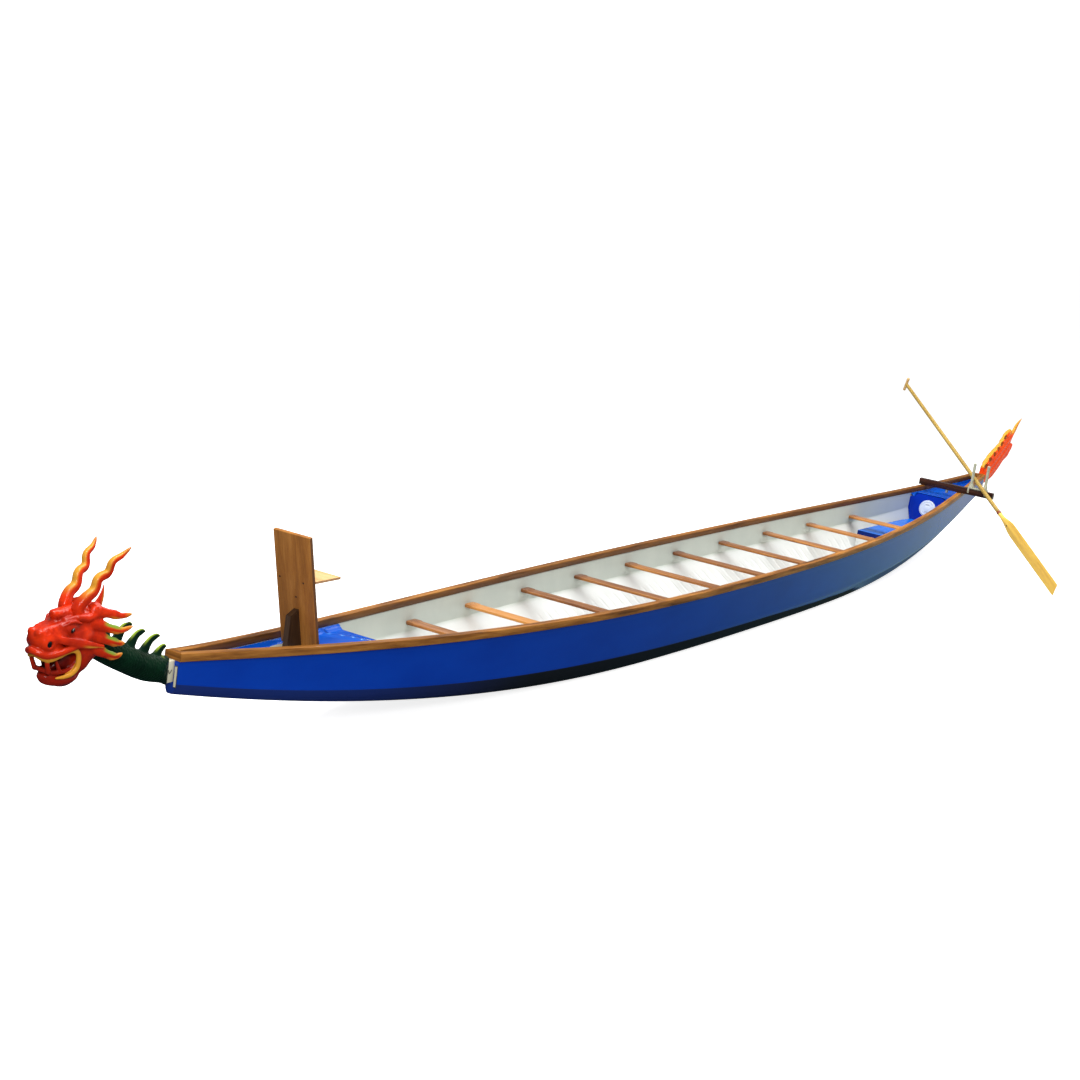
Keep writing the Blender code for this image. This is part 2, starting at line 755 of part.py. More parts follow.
def make_drum_seat():
    ply = material("seat_ply", PLY_BROWN, 0.45)
    pale = material("seat_panel_ply", PLY_PALE, 0.50)
    dark = material("seat_dark_wood", DARK_BROWN, 0.40)
    foot_z = slot_plate_top(board_front(BOARD_FOOT_Z)) + BOARD_FOOT_GAP
    length = (BOARD_HEAD_Z - foot_z) / math.cos(BOARD_LEAN)
    turn = Matrix.Rotation(BOARD_LEAN, 4, "Y")
    front = turn @ Vector((1.0, 0.0, 0.0))
    upward = turn @ Vector((0.0, 0.0, 1.0))
    head = Vector((BOARD_HEAD_X, 0.0, BOARD_HEAD_Z))
    centre = head - upward * length / 2.0 - front * BOARD_THICK / 2.0
    bevel(box("drum_seat_back", (BOARD_THICK, BOARD_WIDTH, length), centre, ply, turn), 0.002, 1)

    rear = BOARD_THICK / math.cos(BOARD_LEAN) + SEAT_FACE_GAP
    low = SEAT_TOP - SEAT_THICK
    outline = [(board_front(SEAT_TOP) - rear, SEAT_TOP), (SEAT_AFT, SEAT_TOP)]
    outline += [(SEAT_AFT, low), (board_front(low) - rear, low)]
    bevel(across_boat("drum_seat_panel", outline, BOARD_WIDTH, pale), 0.002, 1)

    under = low - GAP
    foot = under - BRACKET_DEPTH
    bracket = [
        (board_front(under) - rear, under),
        (SEAT_AFT + BRACKET_REACH, under),
        (SEAT_AFT + BRACKET_REACH, under - BRACKET_TOE),
        (board_front(foot) - rear, foot),
    ]
    across_boat("drum_seat_bracket", bracket, KNEE_WIDTH, dark)

    knee_foot = slot_plate_top(KNEE_FRONT_X) + GAP
    knee = [
        (board_front(knee_foot) + SEAT_FACE_GAP, knee_foot),
        (board_front(KNEE_TOP_AFT) + SEAT_FACE_GAP, KNEE_TOP_AFT),
        (KNEE_FRONT_X, KNEE_TOP_FORE),
        (KNEE_FRONT_X, knee_foot),
    ]
    bevel(across_boat("drum_seat_knee", knee, KNEE_WIDTH, dark), 0.003, 1)


def slot_plate_top(x):
    return deck_middle(x) + GAP + SLOT_PLATE_THICK


def make_slot_plate():
    look = material("slot_plate", PALE_METAL, 0.45)
    rings = []
    for x in (SLOT_PLATE_AFT, SLOT_PLATE_FORE):
        top = slot_plate_top(x)
        low = top - SLOT_PLATE_THICK
        half = SLOT_PLATE_WIDTH / 2.0
        rings.append([(x, half, top), (x, -half, top), (x, -half, low), (x, half, low)])
    loft("deck_slot_plate", rings, look)


def make_steering_arm():
    dark = material("arm_wood", DARK_BROWN, 0.35)
    pale = material("lock_metal", PALE_METAL, 0.35, 0.3)
    low = rail_top(ARM_X - ARM_WIDTH / 2.0) + GAP
    top = low + ARM_HEIGHT
    length = ARM_PORT - ARM_STARBOARD
    centre = (ARM_X, (ARM_PORT + ARM_STARBOARD) / 2.0, low + ARM_HEIGHT / 2.0)
    bevel(box("steering_arm", (ARM_WIDTH, length, ARM_HEIGHT), centre, dark), 0.003, 1)

    plate_low = top + GAP
    plate_length = PIN_SPACING + 2.0 * LOCK_PLATE_MARGIN
    centre = (ARM_X, OAR_PIVOT.y, plate_low + LOCK_PLATE / 2.0)
    lock = box("oar_lock", (ARM_WIDTH, plate_length, LOCK_PLATE), centre, pale)
    for i, side in enumerate((-1.0, 1.0)):
        y = OAR_PIVOT.y + side * PIN_SPACING / 2.0
        start = (ARM_X, y, plate_low + LOCK_PLATE / 2.0)
        end = (ARM_X, y, plate_low + PIN_HEIGHT)
        pin = cylinder(f"lock_pin_{i + 1}", PIN_RADIUS, start, end, None, CUTTERS, 16)
        cut(lock, hide_cutter(pin), "UNION")


def oar_direction():
    """From the pivot to the grip."""
    level = math.cos(OAR_ELEVATION)
    return Vector(
        (-math.cos(OAR_HEADING) * level, -math.sin(OAR_HEADING) * level, math.sin(OAR_ELEVATION))
    )


def make_oar():
    look = material("oar_varnish", OAR_YELLOW, 0.25)
    grip_look = material("grip_wood", PLY_PALE, 0.35)
    to_grip = oar_direction()
    lift_axis = Vector((math.sin(OAR_HEADING), -math.cos(OAR_HEADING), 0.0))
    across = lift_axis.cross(to_grip)
    frame = Matrix((to_grip, lift_axis, across)).transposed().to_4x4()
    pivot = bpy.data.objects.new("oar_pivot", None)
    BOAT.objects.link(pivot)
    pivot.matrix_world = Matrix.Translation(OAR_PIVOT) @ frame

    neck = BLADE_LENGTH - OAR_OUTBOARD
    rings = []
    for place, radius in SHAFT_STOPS + ((neck, SHAFT_RADIUS),):
        rings.append([(place, radius * c, radius * s) for c, s in circle(SHAFT_SIDES)])
    shaft = loft("oar_shaft", rings, look)

    rings = []
    for beyond, half, thick in BLADE_STOPS:
        rings.append([(neck - beyond, thick * c, half * s) for c, s in circle(BLADE_SIDES, 0.5)])
    blade = loft("oar_blade", rings, look)

    middle = OAR_INBOARD + GAP + GRIP_RADIUS
    rings = []
    for y in (-GRIP_REACH, GRIP_REACH):
        rings.append([(middle + GRIP_RADIUS * c, GRIP_RADIUS * s, y) for c, s in circle(BLADE_SIDES)])
    grip = loft("oar_grip", rings, grip_look)
    for piece in (shaft, blade, grip):
        piece.parent = pivot


def add_ball(bm, centre, radii, turn=None):
    place = Matrix.Translation(centre) @ (turn or Matrix.Identity(4)) @ Matrix.Diagonal((*radii, 1.0))
    bmesh.ops.create_icosphere(bm, subdivisions=3, radius=1.0, matrix=place)


def add_limb(bm, points, radii, sides=12, flat=1.0):
    """A tapered limb along points, its section flattened across the boat by flat."""
    rings = []
    for i, point in enumerate(points):
        before = Vector(points[max(i - 1, 0)])
        after = Vector(points[min(i + 1, len(points) - 1)])
        way = (after - before).normalized()
        side = Vector((0.0, 1.0, 0.0))
        if abs(way.y) > 0.9:
            side = Vector((1.0, 0.0, 0.0))
        up = way.cross(side).normalized()
        side = up.cross(way).normalized()
        ring = []
        for k in range(sides):
            t = 2.0 * math.pi * k / sides
            ring.append(Vector(point) + (side * math.cos(t) * flat + up * math.sin(t)) * radii[i])
        rings.append(ring)
    made = fill_rows(bm, rings, closed=True)
    bm.faces.new(made[0])
    bm.faces.new(list(reversed(made[-1])))


def blob(name, build, voxel, ratio, look):
    """Overlapping forms melted into one skin, then thinned to few faces."""
    bm = bmesh.new()
    build(bm)
    obj = finish_mesh(bm, name, look, sharp=60.0)
    remesh = obj.modifiers.new("skin", "REMESH")
    remesh.mode = "VOXEL"
    remesh.voxel_size = voxel
    remesh.use_smooth_shade = True
    thin = obj.modifiers.new("thin", "DECIMATE")
    thin.ratio = ratio
    return obj


def head_forms(bm):
    add_ball(bm, (7.00, 0.0, 0.90), (0.15, 0.100, 0.125))
    add_ball(bm, (7.15, 0.0, 0.89), (0.15, 0.078, 0.060))
    add_ball(bm, (7.245, 0.0, 0.922), (0.055, 0.062, 0.046))
    add_ball(bm, (7.10, 0.0, 1.015), (0.075, 0.045, 0.035))
    add_ball(bm, (7.10, 0.0, 0.965), (0.080, 0.050, 0.045))
    add_ball(bm, (7.08, 0.0, 0.715), (0.14, 0.068, 0.050))
    add_ball(bm, (6.97, 0.0, 0.800), (0.12, 0.085, 0.100))
    for side in (-1.0, 1.0):
        add_ball(bm, (7.23, 0.048 * side, 0.898), (0.042, 0.026, 0.034))
        add_ball(bm, (7.08, 0.050 * side, 0.970), (0.060, 0.036, 0.044))
        add_ball(bm, (7.04, 0.075 * side, 0.880), (0.060, 0.045, 0.050))
        lip = [(7.00, 0.080, 0.855), (7.15, 0.076, 0.850), (7.25, 0.050, 0.848), (7.280, 0.0, 0.862)]
        add_limb(bm, [(x, y * side, z) for x, y, z in lip], [0.020, 0.020, 0.020, 0.020])
        lip = [(6.98, 0.075, 0.790), (7.10, 0.060, 0.735), (7.18, 0.038, 0.740), (7.205, 0.0, 0.752)]
        add_limb(bm, [(x, y * side, z) for x, y, z in lip], [0.020, 0.020, 0.020, 0.020])
        for root_z, x, y, z in MANE:
            middle = (6.89, (y + 0.02) * side, (root_z + z) / 2.0)
            spike = [(6.99, 0.080 * side, root_z), middle, (x, y * side, z)]
            add_limb(bm, spike, [0.040, 0.028, 0.007])
    add_limb(bm, [(6.96, 0.0, 1.00), (6.90, 0.0, 1.06), (6.86, 0.0, 1.15)], [0.030, 0.018, 0.006])


def horn_points(side):
    """A horn that waves as it rises and leans aft."""
    base = Vector((HORN_FOOT.x, HORN_FOOT.y * side, HORN_FOOT.z))
    tip = Vector((HORN_TIP.x, HORN_TIP.y * side, HORN_TIP.z))
    points = []
    radii = []
    for i in range(HORN_STEPS + 1):
        t = i / HORN_STEPS
        wave = HORN_WAVE * math.sin(t * math.pi * 6.0) * min(1.0, 4.0 * t)
        points.append(base.lerp(tip, t) + Vector((wave, 0.0, wave * 0.6)))
        radii.append(HORN_RADIUS * (1.0 - 0.80 * t))
    return points, radii


def make_horn(name, side, look):
    points, radii = horn_points(side)
    bm = bmesh.new()
    add_limb(bm, points, radii, 10)
    return finish_mesh(bm, name, look, sharp=60.0)


def socket_for(obj):
    """A cutter with the shape of a piece, larger by the gap that is kept round it."""
    cutter = bpy.data.objects.new(obj.name + "_socket", obj.data)
    CUTTERS.objects.link(cutter)
    for source in obj.modifiers:
        copy = cutter.modifiers.new(source.name, source.type)
        for setting in ("mode", "voxel_size", "ratio", "operation", "object"):
            if hasattr(source, setting):
                setattr(copy, setting, getattr(source, setting))
    swell = cutter.modifiers.new("clearance", "DISPLACE")
    swell.mid_level = 0.0
    swell.strength = SOCKET_GAP
    return hide_cutter(cutter)


def make_head(neck):
    red = material("dragon_red", DRAGON_RED, 0.15)
    horn_look = material("horn_paint", HORN_YELLOW, 0.20)
    head = blob("dragon_head", head_forms, 0.009, 0.14, red)
    for name, side in (("port", 1.0), ("starboard", -1.0)):
        cut(head, socket_for(make_horn("dragon_horn_" + name, side, horn_look)))
    cut(head, socket_for(neck))


def neck_forms(bm):
    way = (NECK_HEAD - NECK_FOOT).normalized()
    up = Vector((-way.z, 0.0, way.x))
    points = [NECK_FOOT.lerp(NECK_HEAD, t) for t in NECK_STEPS]
    add_limb(bm, points, NECK_RADII, 20, NECK_FLAT)
    for place in FIN_PLACES:
        foot = NECK_FOOT.lerp(NECK_HEAD, place) + up * 0.06
        fin = [foot + way * ahead + up * rise for ahead, rise, _ in FIN_SPINE]
        add_limb(bm, fin, [radius for _, _, radius in FIN_SPINE], 10, FIN_FLAT)


def trim_end(obj, x, way):
    """Cuts a piece off flat at x, where it meets its socket block."""
    centre = (x + way * TRIM_SIZE[0] / 2.0, 0.0, TRIM_HEIGHT)
    cutter = box(obj.name + "_trim", TRIM_SIZE, centre, None, None, CUTTERS)
    cut(obj, hide_cutter(cutter))


def make_neck():
    green = material("dragon_green", DRAGON_GREEN, 0.25)
    neck = blob("dragon_neck", neck_forms, 0.008, 0.10, green)
    trim_end(neck, NECK_FOOT.x, -1.0)
    return neck


def tail_forms(bm):
    add_limb(bm, TAIL_SPINE, TAIL_RADII, 14, TAIL_FLAT)
    for flame in TAIL_FLAMES:
        add_limb(bm, [(x, 0.0, z) for x, z in flame], FLAME_RADII, 10, FLAME_FLAT)


def make_tail():
    red = material("tail_red", DRAGON_RED, 0.18)
    trim_end(blob("dragon_tail", tail_forms, 0.009, 0.12, red), -NECK_FOOT.x, 1.0)


def make_sockets():
    cream = material("socket_cream", CREAM, 0.45)
    x = HULL_HALF_LENGTH + GAP
    depth = NECK_FOOT.x - x - GAP
    for name, end, block in (("bow_socket", 1.0, BOW_SOCKET), ("stern_socket", -1.0, STERN_SOCKET)):
        width, height, middle = block
        centre = (end * (x + depth / 2.0), 0.0, middle)
        bevel(box(name, (depth, width, height), centre, cream), 0.004, 1)


make_hull()
make_liner()
make_rails()
make_benches()
make_decks()
make_hatch(*make_aft_bulkhead())
make_steer_floor()
make_drum_seat()
make_slot_plate()
make_steering_arm()
make_oar()
make_head(make_neck())
make_tail()
make_sockets()
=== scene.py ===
"""The looks of a 20-paddler dragon boat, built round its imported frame.

Metres, +X to the bow, +Y to port, +Z up, as in the frame.
"""

import math

import bmesh
import bpy
import numpy as np
from mathutils import Matrix, Vector


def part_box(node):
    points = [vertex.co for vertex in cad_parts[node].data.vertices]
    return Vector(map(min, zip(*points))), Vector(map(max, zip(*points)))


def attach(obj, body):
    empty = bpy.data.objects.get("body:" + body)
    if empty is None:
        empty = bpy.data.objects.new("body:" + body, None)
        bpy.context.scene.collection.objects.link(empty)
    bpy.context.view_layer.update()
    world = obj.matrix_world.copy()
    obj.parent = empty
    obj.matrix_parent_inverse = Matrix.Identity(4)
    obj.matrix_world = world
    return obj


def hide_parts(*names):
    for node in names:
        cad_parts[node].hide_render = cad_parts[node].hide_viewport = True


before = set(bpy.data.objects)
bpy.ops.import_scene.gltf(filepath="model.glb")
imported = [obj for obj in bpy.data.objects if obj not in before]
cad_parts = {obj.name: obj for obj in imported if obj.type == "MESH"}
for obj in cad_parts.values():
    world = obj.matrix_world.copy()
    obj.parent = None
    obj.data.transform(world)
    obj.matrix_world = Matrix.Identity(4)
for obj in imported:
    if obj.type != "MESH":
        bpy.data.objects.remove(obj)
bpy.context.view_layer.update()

# Hull lines, as in the frame's source. A rise is a height gained at an end, and its power along the hull.
HULL_HALF_LENGTH = 6.245
BEAM_HALF = 0.58
BOW_HALF_BREADTH = 0.057
STERN_HALF_BREADTH = 0.070
RAIL_TOP_MIDSHIP = 0.48
RAIL_RISE_BOW = (0.214, 2.7)
RAIL_RISE_STERN = (0.190, 2.5)
RAIL_WIDTH = 0.050
RAIL_HEIGHT = 0.048
END_RAIL_DEPTH = 0.045
CHINE_MIDSHIP = 0.12
CHINE_RISE_BOW = (0.400, 3.3)
CHINE_RISE_STERN = (0.370, 3.3)
KEEL_RISE = (0.46, 2.3)
KEEL_FLAT_HALF = 1.6
SKIN_INSET = 0.017
SKIN_TOP_GAP = 0.0012
SKIN_THICK = 0.006

# The liner inside it, its decks and its benches
LINER_END = 5.85
LINER_THICK = 0.004
LINER_INSET = 0.047
LINER_KNUCKLE = 0.130
LINER_KNUCKLE_FALL = 0.080
LINER_FROM_CHINE = 0.030
LINER_OVER_CHINE = 0.010
LINER_LEAST = 0.012
BILGE_SLOPE = 0.69
FLOOR_LIFT = 0.030
FLOOR_LEAST = 0.30
FLOOR_LEAST_GROWTH = 0.60
BENCH_COUNT = 10
BENCH_FIRST_X = 3.51
BENCH_PITCH = 0.805
BENCH_WIDTH = 0.11
BENCH_THICK = 0.020
BENCH_TOP_MIDSHIP = 0.351
BENCH_SHEER = 0.041 / 16.0
FOREDECK_AFT = 4.43
STERN_DECK_FRONT = -4.90
DECK_END = HULL_HALF_LENGTH - 0.052
DECK_THICK = 0.005
DECK_GAP = 0.0008
DIMPLE_PITCH = 0.060
AFT_CROWN = 0.045
AFT_CROWN_RUN = 0.40

# Steering arm and oar
ARM_X = -5.17
PIN_SPACING = 0.144
OAR_PIVOT = Vector((ARM_X, 0.372, 0.7184))
OAR_HEADING = math.radians(50.0)
OAR_ELEVATION = math.radians(21.8)
OAR_INBOARD = 1.895
OAR_NECK = -0.518

SIDES = (("port", 1.0), ("starboard", -1.0))
LENGTHS = ("bow", "fore", "mid", "aft", "stern")


def along(x):
    return min(abs(x) / HULL_HALF_LENGTH, 1.0)


def rail_top(x):
    rise, power = RAIL_RISE_BOW if x > 0.0 else RAIL_RISE_STERN
    return RAIL_TOP_MIDSHIP + rise * along(x) ** power


def rail_breadth(x):
    end = BOW_HALF_BREADTH if x > 0.0 else STERN_HALF_BREADTH
    return end + (BEAM_HALF - end) * (1.0 - along(x) ** 2.4) ** 1.25


def chine_height(x):
    rise, power = CHINE_RISE_BOW if x > 0.0 else CHINE_RISE_STERN
    return CHINE_MIDSHIP + rise * along(x) ** power


def keel_height(x):
    rise, power = KEEL_RISE
    return rise * (max(0.0, abs(x) - KEEL_FLAT_HALF) / (HULL_HALF_LENGTH - KEEL_FLAT_HALF)) ** power


def skin_breadth(x):
    return rail_breadth(x) - SKIN_INSET * (1.0 - 0.4 * along(x) ** 6.0)


def chine_breadth(x):
    taper = along(x) ** 4.0
    return skin_breadth(x) - 0.033 * (1.0 - taper) - 0.009 * taper


def bottom_breadth(x):
    return chine_breadth(x) * (0.80 - 0.50 * along(x) ** 3.0)


def floor_height(x):
    return keel_height(x) + FLOOR_LIFT


def liner_top(x):
    return rail_breadth(x) - LINER_INSET, rail_top(x) - RAIL_HEIGHT


def liner_knuckle(x):
    """Where the inner wall ends and the sloping bilge begins."""
    top_y, top_z = liner_top(x)
    wall_y = max(chine_breadth(x) - LINER_FROM_CHINE, LINER_LEAST)
    wall_z = chine_height(x) + LINER_OVER_CHINE
    rise = LINER_KNUCKLE - LINER_KNUCKLE_FALL * along(x) ** 4.0
    return wall_y + (top_y - wall_y) * rise / (top_z - wall_z), wall_z + rise


def floor_edge(x):
    knuckle_y, knuckle_z = liner_knuckle(x)
    run = (knuckle_z - floor_height(x)) / BILGE_SLOPE
    least = FLOOR_LEAST + FLOOR_LEAST_GROWTH * along(x) ** 2.0
    return max(knuckle_y - run, least * knuckle_y), floor_height(x)


def wall_breadth(x, z):
    """Half-breadth of the liner at height z."""
    line = (liner_top(x), liner_knuckle(x), floor_edge(x))
    for upper, lower in zip(line, line[1:]):
        if z >= lower[1]:
            return lower[0] + (upper[0] - lower[0]) * (z - lower[1]) / (upper[1] - lower[1])
    return line[-1][0]


def spread(start, end, count):
    return [start + (end - start) * i / (count - 1) for i in range(count)]


def hull_stations(count):
    """Places along the hull, closer together towards its ends."""
    return [HULL_HALF_LENGTH * math.sin(s * math.pi / 2.0) for s in spread(-1.0, 1.0, count)]


def smooth(low, high, value):
    """Nought at low, one at high and eased between, as a float or as an array, like the value."""
    t = np.clip((np.asarray(value, float) - low) / (high - low), 0.0, 1.0)
    eased = t * t * (3.0 - 2.0 * t)
    return eased if eased.ndim else float(eased)


# Materials


def add_node(tree, kind, inputs=(), **settings):
    """A node with its settings, and with each input set to a value or linked to a socket."""
    made = tree.nodes.new(kind)
    for key, value in settings.items():
        setattr(made, key, value)
    for socket, value in dict(inputs).items():
        if isinstance(value, bpy.types.NodeSocket):
            tree.links.new(value, made.inputs[socket])
        else:
            made.inputs[socket].default_value = value
    return made


def add_ramp(tree, factor, stops):
    """A colour ramp. Its first two stops are the ramp's own, so they are the outer ones."""
    made = add_node(tree, "ShaderNodeValToRGB", {"Fac": factor})
    elements = made.color_ramp.elements
    for i, (place, colour) in enumerate(stops):
        element = elements[i] if i < 2 else elements.new(place)
        element.position = place
        element.color = (*colour, 1.0)
    return made.outputs["Color"]


class Look:
    """A Principled material and short ways to add nodes to it."""

    def __init__(self, name, colour, roughness, coat=0.0, coat_roughness=0.05, metallic=0.0, ior=1.5):
        self.material = bpy.data.materials.new(name)
        self.material.use_nodes = True
        self.tree = self.material.node_tree
        self.shader = self.tree.nodes["Principled BSDF"]
        for socket, value in (
            ("Base Color", (*colour, 1.0)), ("Roughness", roughness), ("Metallic", metallic),
            ("Coat Weight", coat), ("Coat Roughness", coat_roughness), ("IOR", ior), ("Coat IOR", ior),
        ):
            self.shader.inputs[socket].default_value = value

    def node(self, kind, inputs=(), **settings):
        return add_node(self.tree, kind, inputs, **settings)

    def place(self, scale=(1.0, 1.0, 1.0), attribute=None):
        """Coordinates in metres, from the object or from a named attribute."""
        if attribute:
            source = self.node("ShaderNodeAttribute", attribute_name=attribute).outputs["Vector"]
        else:
            source = self.node("ShaderNodeTexCoord").outputs["Object"]
        return self.node("ShaderNodeMapping", {"Vector": source, "Scale": scale}).outputs["Vector"]

    def noise(self, vector, scale, detail=4.0, rough=0.55, distortion=0.0):
        inputs = {"Vector": vector, "Scale": scale, "Detail": detail, "Roughness": rough}
        inputs["Distortion"] = distortion
        return self.node("ShaderNodeTexNoise", inputs).outputs["Fac"]

    def ramp(self, factor, stops):
        return add_ramp(self.tree, factor, stops)

    def span(self, value, from_low, from_high, to_low=0.0, to_high=1.0):
        inputs = {"Value": value, 1: from_low, 2: from_high, 3: to_low, 4: to_high}
        return self.node("ShaderNodeMapRange", inputs).outputs["Result"]

    def attribute(self, name):
        return self.node("ShaderNodeAttribute", attribute_name=name).outputs["Fac"]

    def mix(self, factor, first, second, blend="MIX"):
        """Two colours mixed. Each is a socket or a plain colour."""
        first, second = [(*c, 1.0) if isinstance(c, tuple) else c for c in (first, second)]
        inputs = {0: factor, 6: first, 7: second}
        return self.node("ShaderNodeMix", inputs, data_type="RGBA", blend_type=blend).outputs[2]

    def maths(self, operation, first, second):
        return self.node("ShaderNodeMath", {0: first, 1: second}, operation=operation).outputs[0]

    def paint(self, body, marks):
        """Paints marks, which are attributes and their colours, over a body colour."""
        for attribute, colour in marks:
            body = self.mix(self.attribute(attribute), body, colour)
        return body

    def set(self, socket, value):
        self.tree.links.new(value, self.shader.inputs[socket])

    def bump(self, height, strength, distance):
        made = self.node("ShaderNodeBump", {"Height": height, "Strength": strength, "Distance": distance})
        self.set("Normal", made.outputs["Normal"])


def gelcoat(name, colour, dark, roughness, scuffs=0.06, ior=1.3, marks=(), dull=None):
    """Polished resin, faintly wavy, blotched and scuffed. dull names an attribute that roughens it."""
    look = Look(name, colour, roughness, ior=ior)
    blotch = look.noise(look.place((0.9, 2.0, 2.0)), 1.6, 3.0)
    look.set("Base Color", look.paint(look.mix(look.span(blotch, 0.35, 0.70), colour, dark), marks))
    fine = look.noise(look.place((6.0, 40.0, 40.0)), 3.0, 5.0, 0.7)
    rough = look.span(fine, 0.4, 0.75, roughness, roughness + scuffs)
    if dull:
        rough = look.maths("ADD", rough, look.maths("MULTIPLY", look.attribute(dull), 0.75))
    look.set("Roughness", rough)
    look.bump(look.noise(look.place(), 7.0, 2.0), 0.10, 0.004)
    return look.material


def wood(name, light, mid, dark, roughness=0.34, coat=0.35, stretch=14.0, figure=1.0, edge=None, ior=1.3):
    """Varnished wood, grained by the attribute grain. tone darkens it above nought and pales it below, for
    the wood's own tone and for painted shade and light.
    """
    look = Look(name, mid, roughness, coat=coat, coat_roughness=0.12, ior=ior)
    wide = look.noise(look.place((0.9, stretch, stretch), "grain"), 2.2 * figure, 6.0, 0.62, 0.35)
    body = look.ramp(wide, [(0.30, dark), (0.70, light), (0.50, mid)])
    fine = look.noise(look.place((5.0, 240.0, 240.0), "grain"), 3.0, 3.0, 0.6)
    streak = look.ramp(fine, [(0.34, (0.62, 0.56, 0.52)), (0.56, (1.0, 1.0, 1.0))])
    body = look.mix(0.65, body, streak, "MULTIPLY")
    pore = look.noise(look.place((14.0, 520.0, 520.0), "grain"), 2.0, 2.0, 0.5)
    pores = look.ramp(pore, [(0.30, (0.55, 0.48, 0.44)), (0.40, (1.0, 1.0, 1.0))])
    body = look.mix(0.55, body, pores, "MULTIPLY")
    tone = look.attribute("tone")
    body = look.mix(look.span(tone, 0.0, 1.0), body, dark)
    body = look.mix(look.span(tone, -1.0, 0.0, 1.0, 0.0), body, light)
    look.set("Base Color", look.paint(body, [("edge", edge)] if edge else ()))
    look.set("Roughness", look.span(fine, 0.3, 0.7, roughness + 0.10, roughness - 0.05))
    look.bump(fine, 0.12, 0.0006)
    return look.material


def moulded(name, colour, shade, roughness, mottle=6.0):
    """Satin plastic or painted stock with a faint mottle."""
    look = Look(name, colour, roughness)
    patch = look.noise(look.place(), mottle, 5.0, 0.6)
    look.set("Base Color", look.mix(look.span(patch, 0.35, 0.75), colour, shade))
    grit = look.noise(look.place(), 140.0, 2.0)
    look.set("Roughness", look.span(patch, 0.3, 0.7, roughness - 0.06, roughness + 0.08))
    look.bump(grit, 0.10, 0.0005)
    return look.material


# The liner's white where light falls on it, plain and in its soft patches
LIT_WHITE = (0.70, 0.71, 0.685)
LIT_WHITE_PATCH = (0.64, 0.655, 0.64)
# The same white painted as in shade, greyer and greener, for the walls, plain and in its soft patches
WALL_WHITE = (0.560, 0.595, 0.535)
WALL_WHITE_PATCH = (0.500, 0.540, 0.490)
HELM_BLUE = (0.0060, 0.150, 0.660)


def helm_floor_look():
    """Blue on the helm floor, painted darker on its lip's front face as shade, and the liner's white,
    painted as lit, on the riser below.
    """
    look = Look("steer_floor_gelcoat", HELM_BLUE, 0.18, ior=1.2)
    height = look.node("ShaderNodeSeparateXYZ", {0: look.place()}).outputs["Z"]
    patch = look.noise(look.place(), 2.6, 4.0, 0.6)
    blue = look.mix(look.span(patch, 0.35, 0.70), HELM_BLUE, (0.0040, 0.110, 0.540))
    # Painted shade on the lip's front face, below the lit top
    lip = look.mix(look.span(height, 0.2885, 0.2895, 1.0, 0.0), blue, (0.0012, 0.012, 0.120))
    white = look.mix(look.span(patch, 0.35, 0.70), LIT_WHITE, LIT_WHITE_PATCH)
    look.set("Base Color", look.mix(look.span(height, 0.248, 0.250, 1.0, 0.0), lip, white))
    look.set("Roughness", look.span(patch, 0.3, 0.7, 0.16, 0.26))
    look.bump(look.noise(look.place(), 7.0, 2.0), 0.10, 0.004)
    return look.material


def liner_look():
    """Satin liner: grey-green walls in painted shade, a bilge and floor painted brighter as lit, and a
    cooler stern.
    """
    look = Look("liner_satin", WALL_WHITE, 0.42, coat=0.08, coat_roughness=0.2)
    patch = look.noise(look.place(), 2.6, 5.0, 0.6)
    body = look.mix(look.span(patch, 0.35, 0.72), WALL_WHITE, WALL_WHITE_PATCH)
    lit = look.mix(look.span(patch, 0.35, 0.72), LIT_WHITE, LIT_WHITE_PATCH)
    # The walls in the white painted as shade, the bilge and floor in the white painted as lit
    look.set("Base Color", look.paint(body, [("floor", lit), ("stern", (0.40, 0.45, 0.50))]))
    look.bump(look.noise(look.place(), 90.0, 3.0), 0.05, 0.0015)
    look.set("Roughness", look.span(patch, 0.3, 0.7, 0.36, 0.50))
    return look.material


def enamel(name, colour, deep, marks, roughness=0.16, scale_size=70.0, scale_depth=0.0, ior=1.3, coat=0.15):
    """Glossy brushed enamel. marks lists attributes and their colours. Scales stand where scales is."""
    look = Look(name, colour, roughness, coat=coat, coat_roughness=0.04, ior=ior)
    patch = look.noise(look.place(), 14.0, 4.0, 0.6)
    look.set("Base Color", look.paint(look.mix(look.span(patch, 0.36, 0.68), colour, deep), marks))
    height = look.noise(look.place(), 34.0, 3.0, 0.55)
    if scale_depth:
        cells = look.node(
            "ShaderNodeTexVoronoi", {"Vector": look.place(), "Scale": scale_size, "Smoothness": 0.4},
            feature="SMOOTH_F1",
        ).outputs["Distance"]
        scaled = look.maths(
            "MULTIPLY", look.maths("MULTIPLY", cells, look.attribute("scales")), -scale_depth,
        )
        height = look.maths("ADD", scaled, look.maths("MULTIPLY", height, 0.5))
    look.bump(height, 0.45, 0.004)
    look.set("Roughness", look.span(patch, 0.3, 0.7, roughness, roughness + 0.08))
    return look.material


# Pieces


def make_piece(name, points, faces, look, body="hull", replaces=(), slot=None, attributes=None, sharp=35.0):
    """A named mesh that rides on a body. attributes holds float or vector values a vertex."""
    mesh = bpy.data.meshes.new(name)
    mesh.from_pydata([tuple(map(float, p)) for p in points], [], [tuple(f) for f in faces])
    mesh.validate()
    for key, values in (attributes or {}).items():
        values = np.asarray(values, dtype=np.float32)
        if values.ndim == 2:
            mesh.attributes.new(key, "FLOAT_VECTOR", "POINT").data.foreach_set("vector", values.ravel())
        else:
            mesh.attributes.new(key, "FLOAT", "POINT").data.foreach_set("value", values)
    mesh.materials.append(look)
    mesh.shade_smooth()
    mesh.set_sharp_from_angle(angle=math.radians(sharp))
    obj = bpy.data.objects.new(name, mesh)
    bpy.context.scene.collection.objects.link(obj)
    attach(obj, body)
    if replaces:
        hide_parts(*replaces)
    return obj


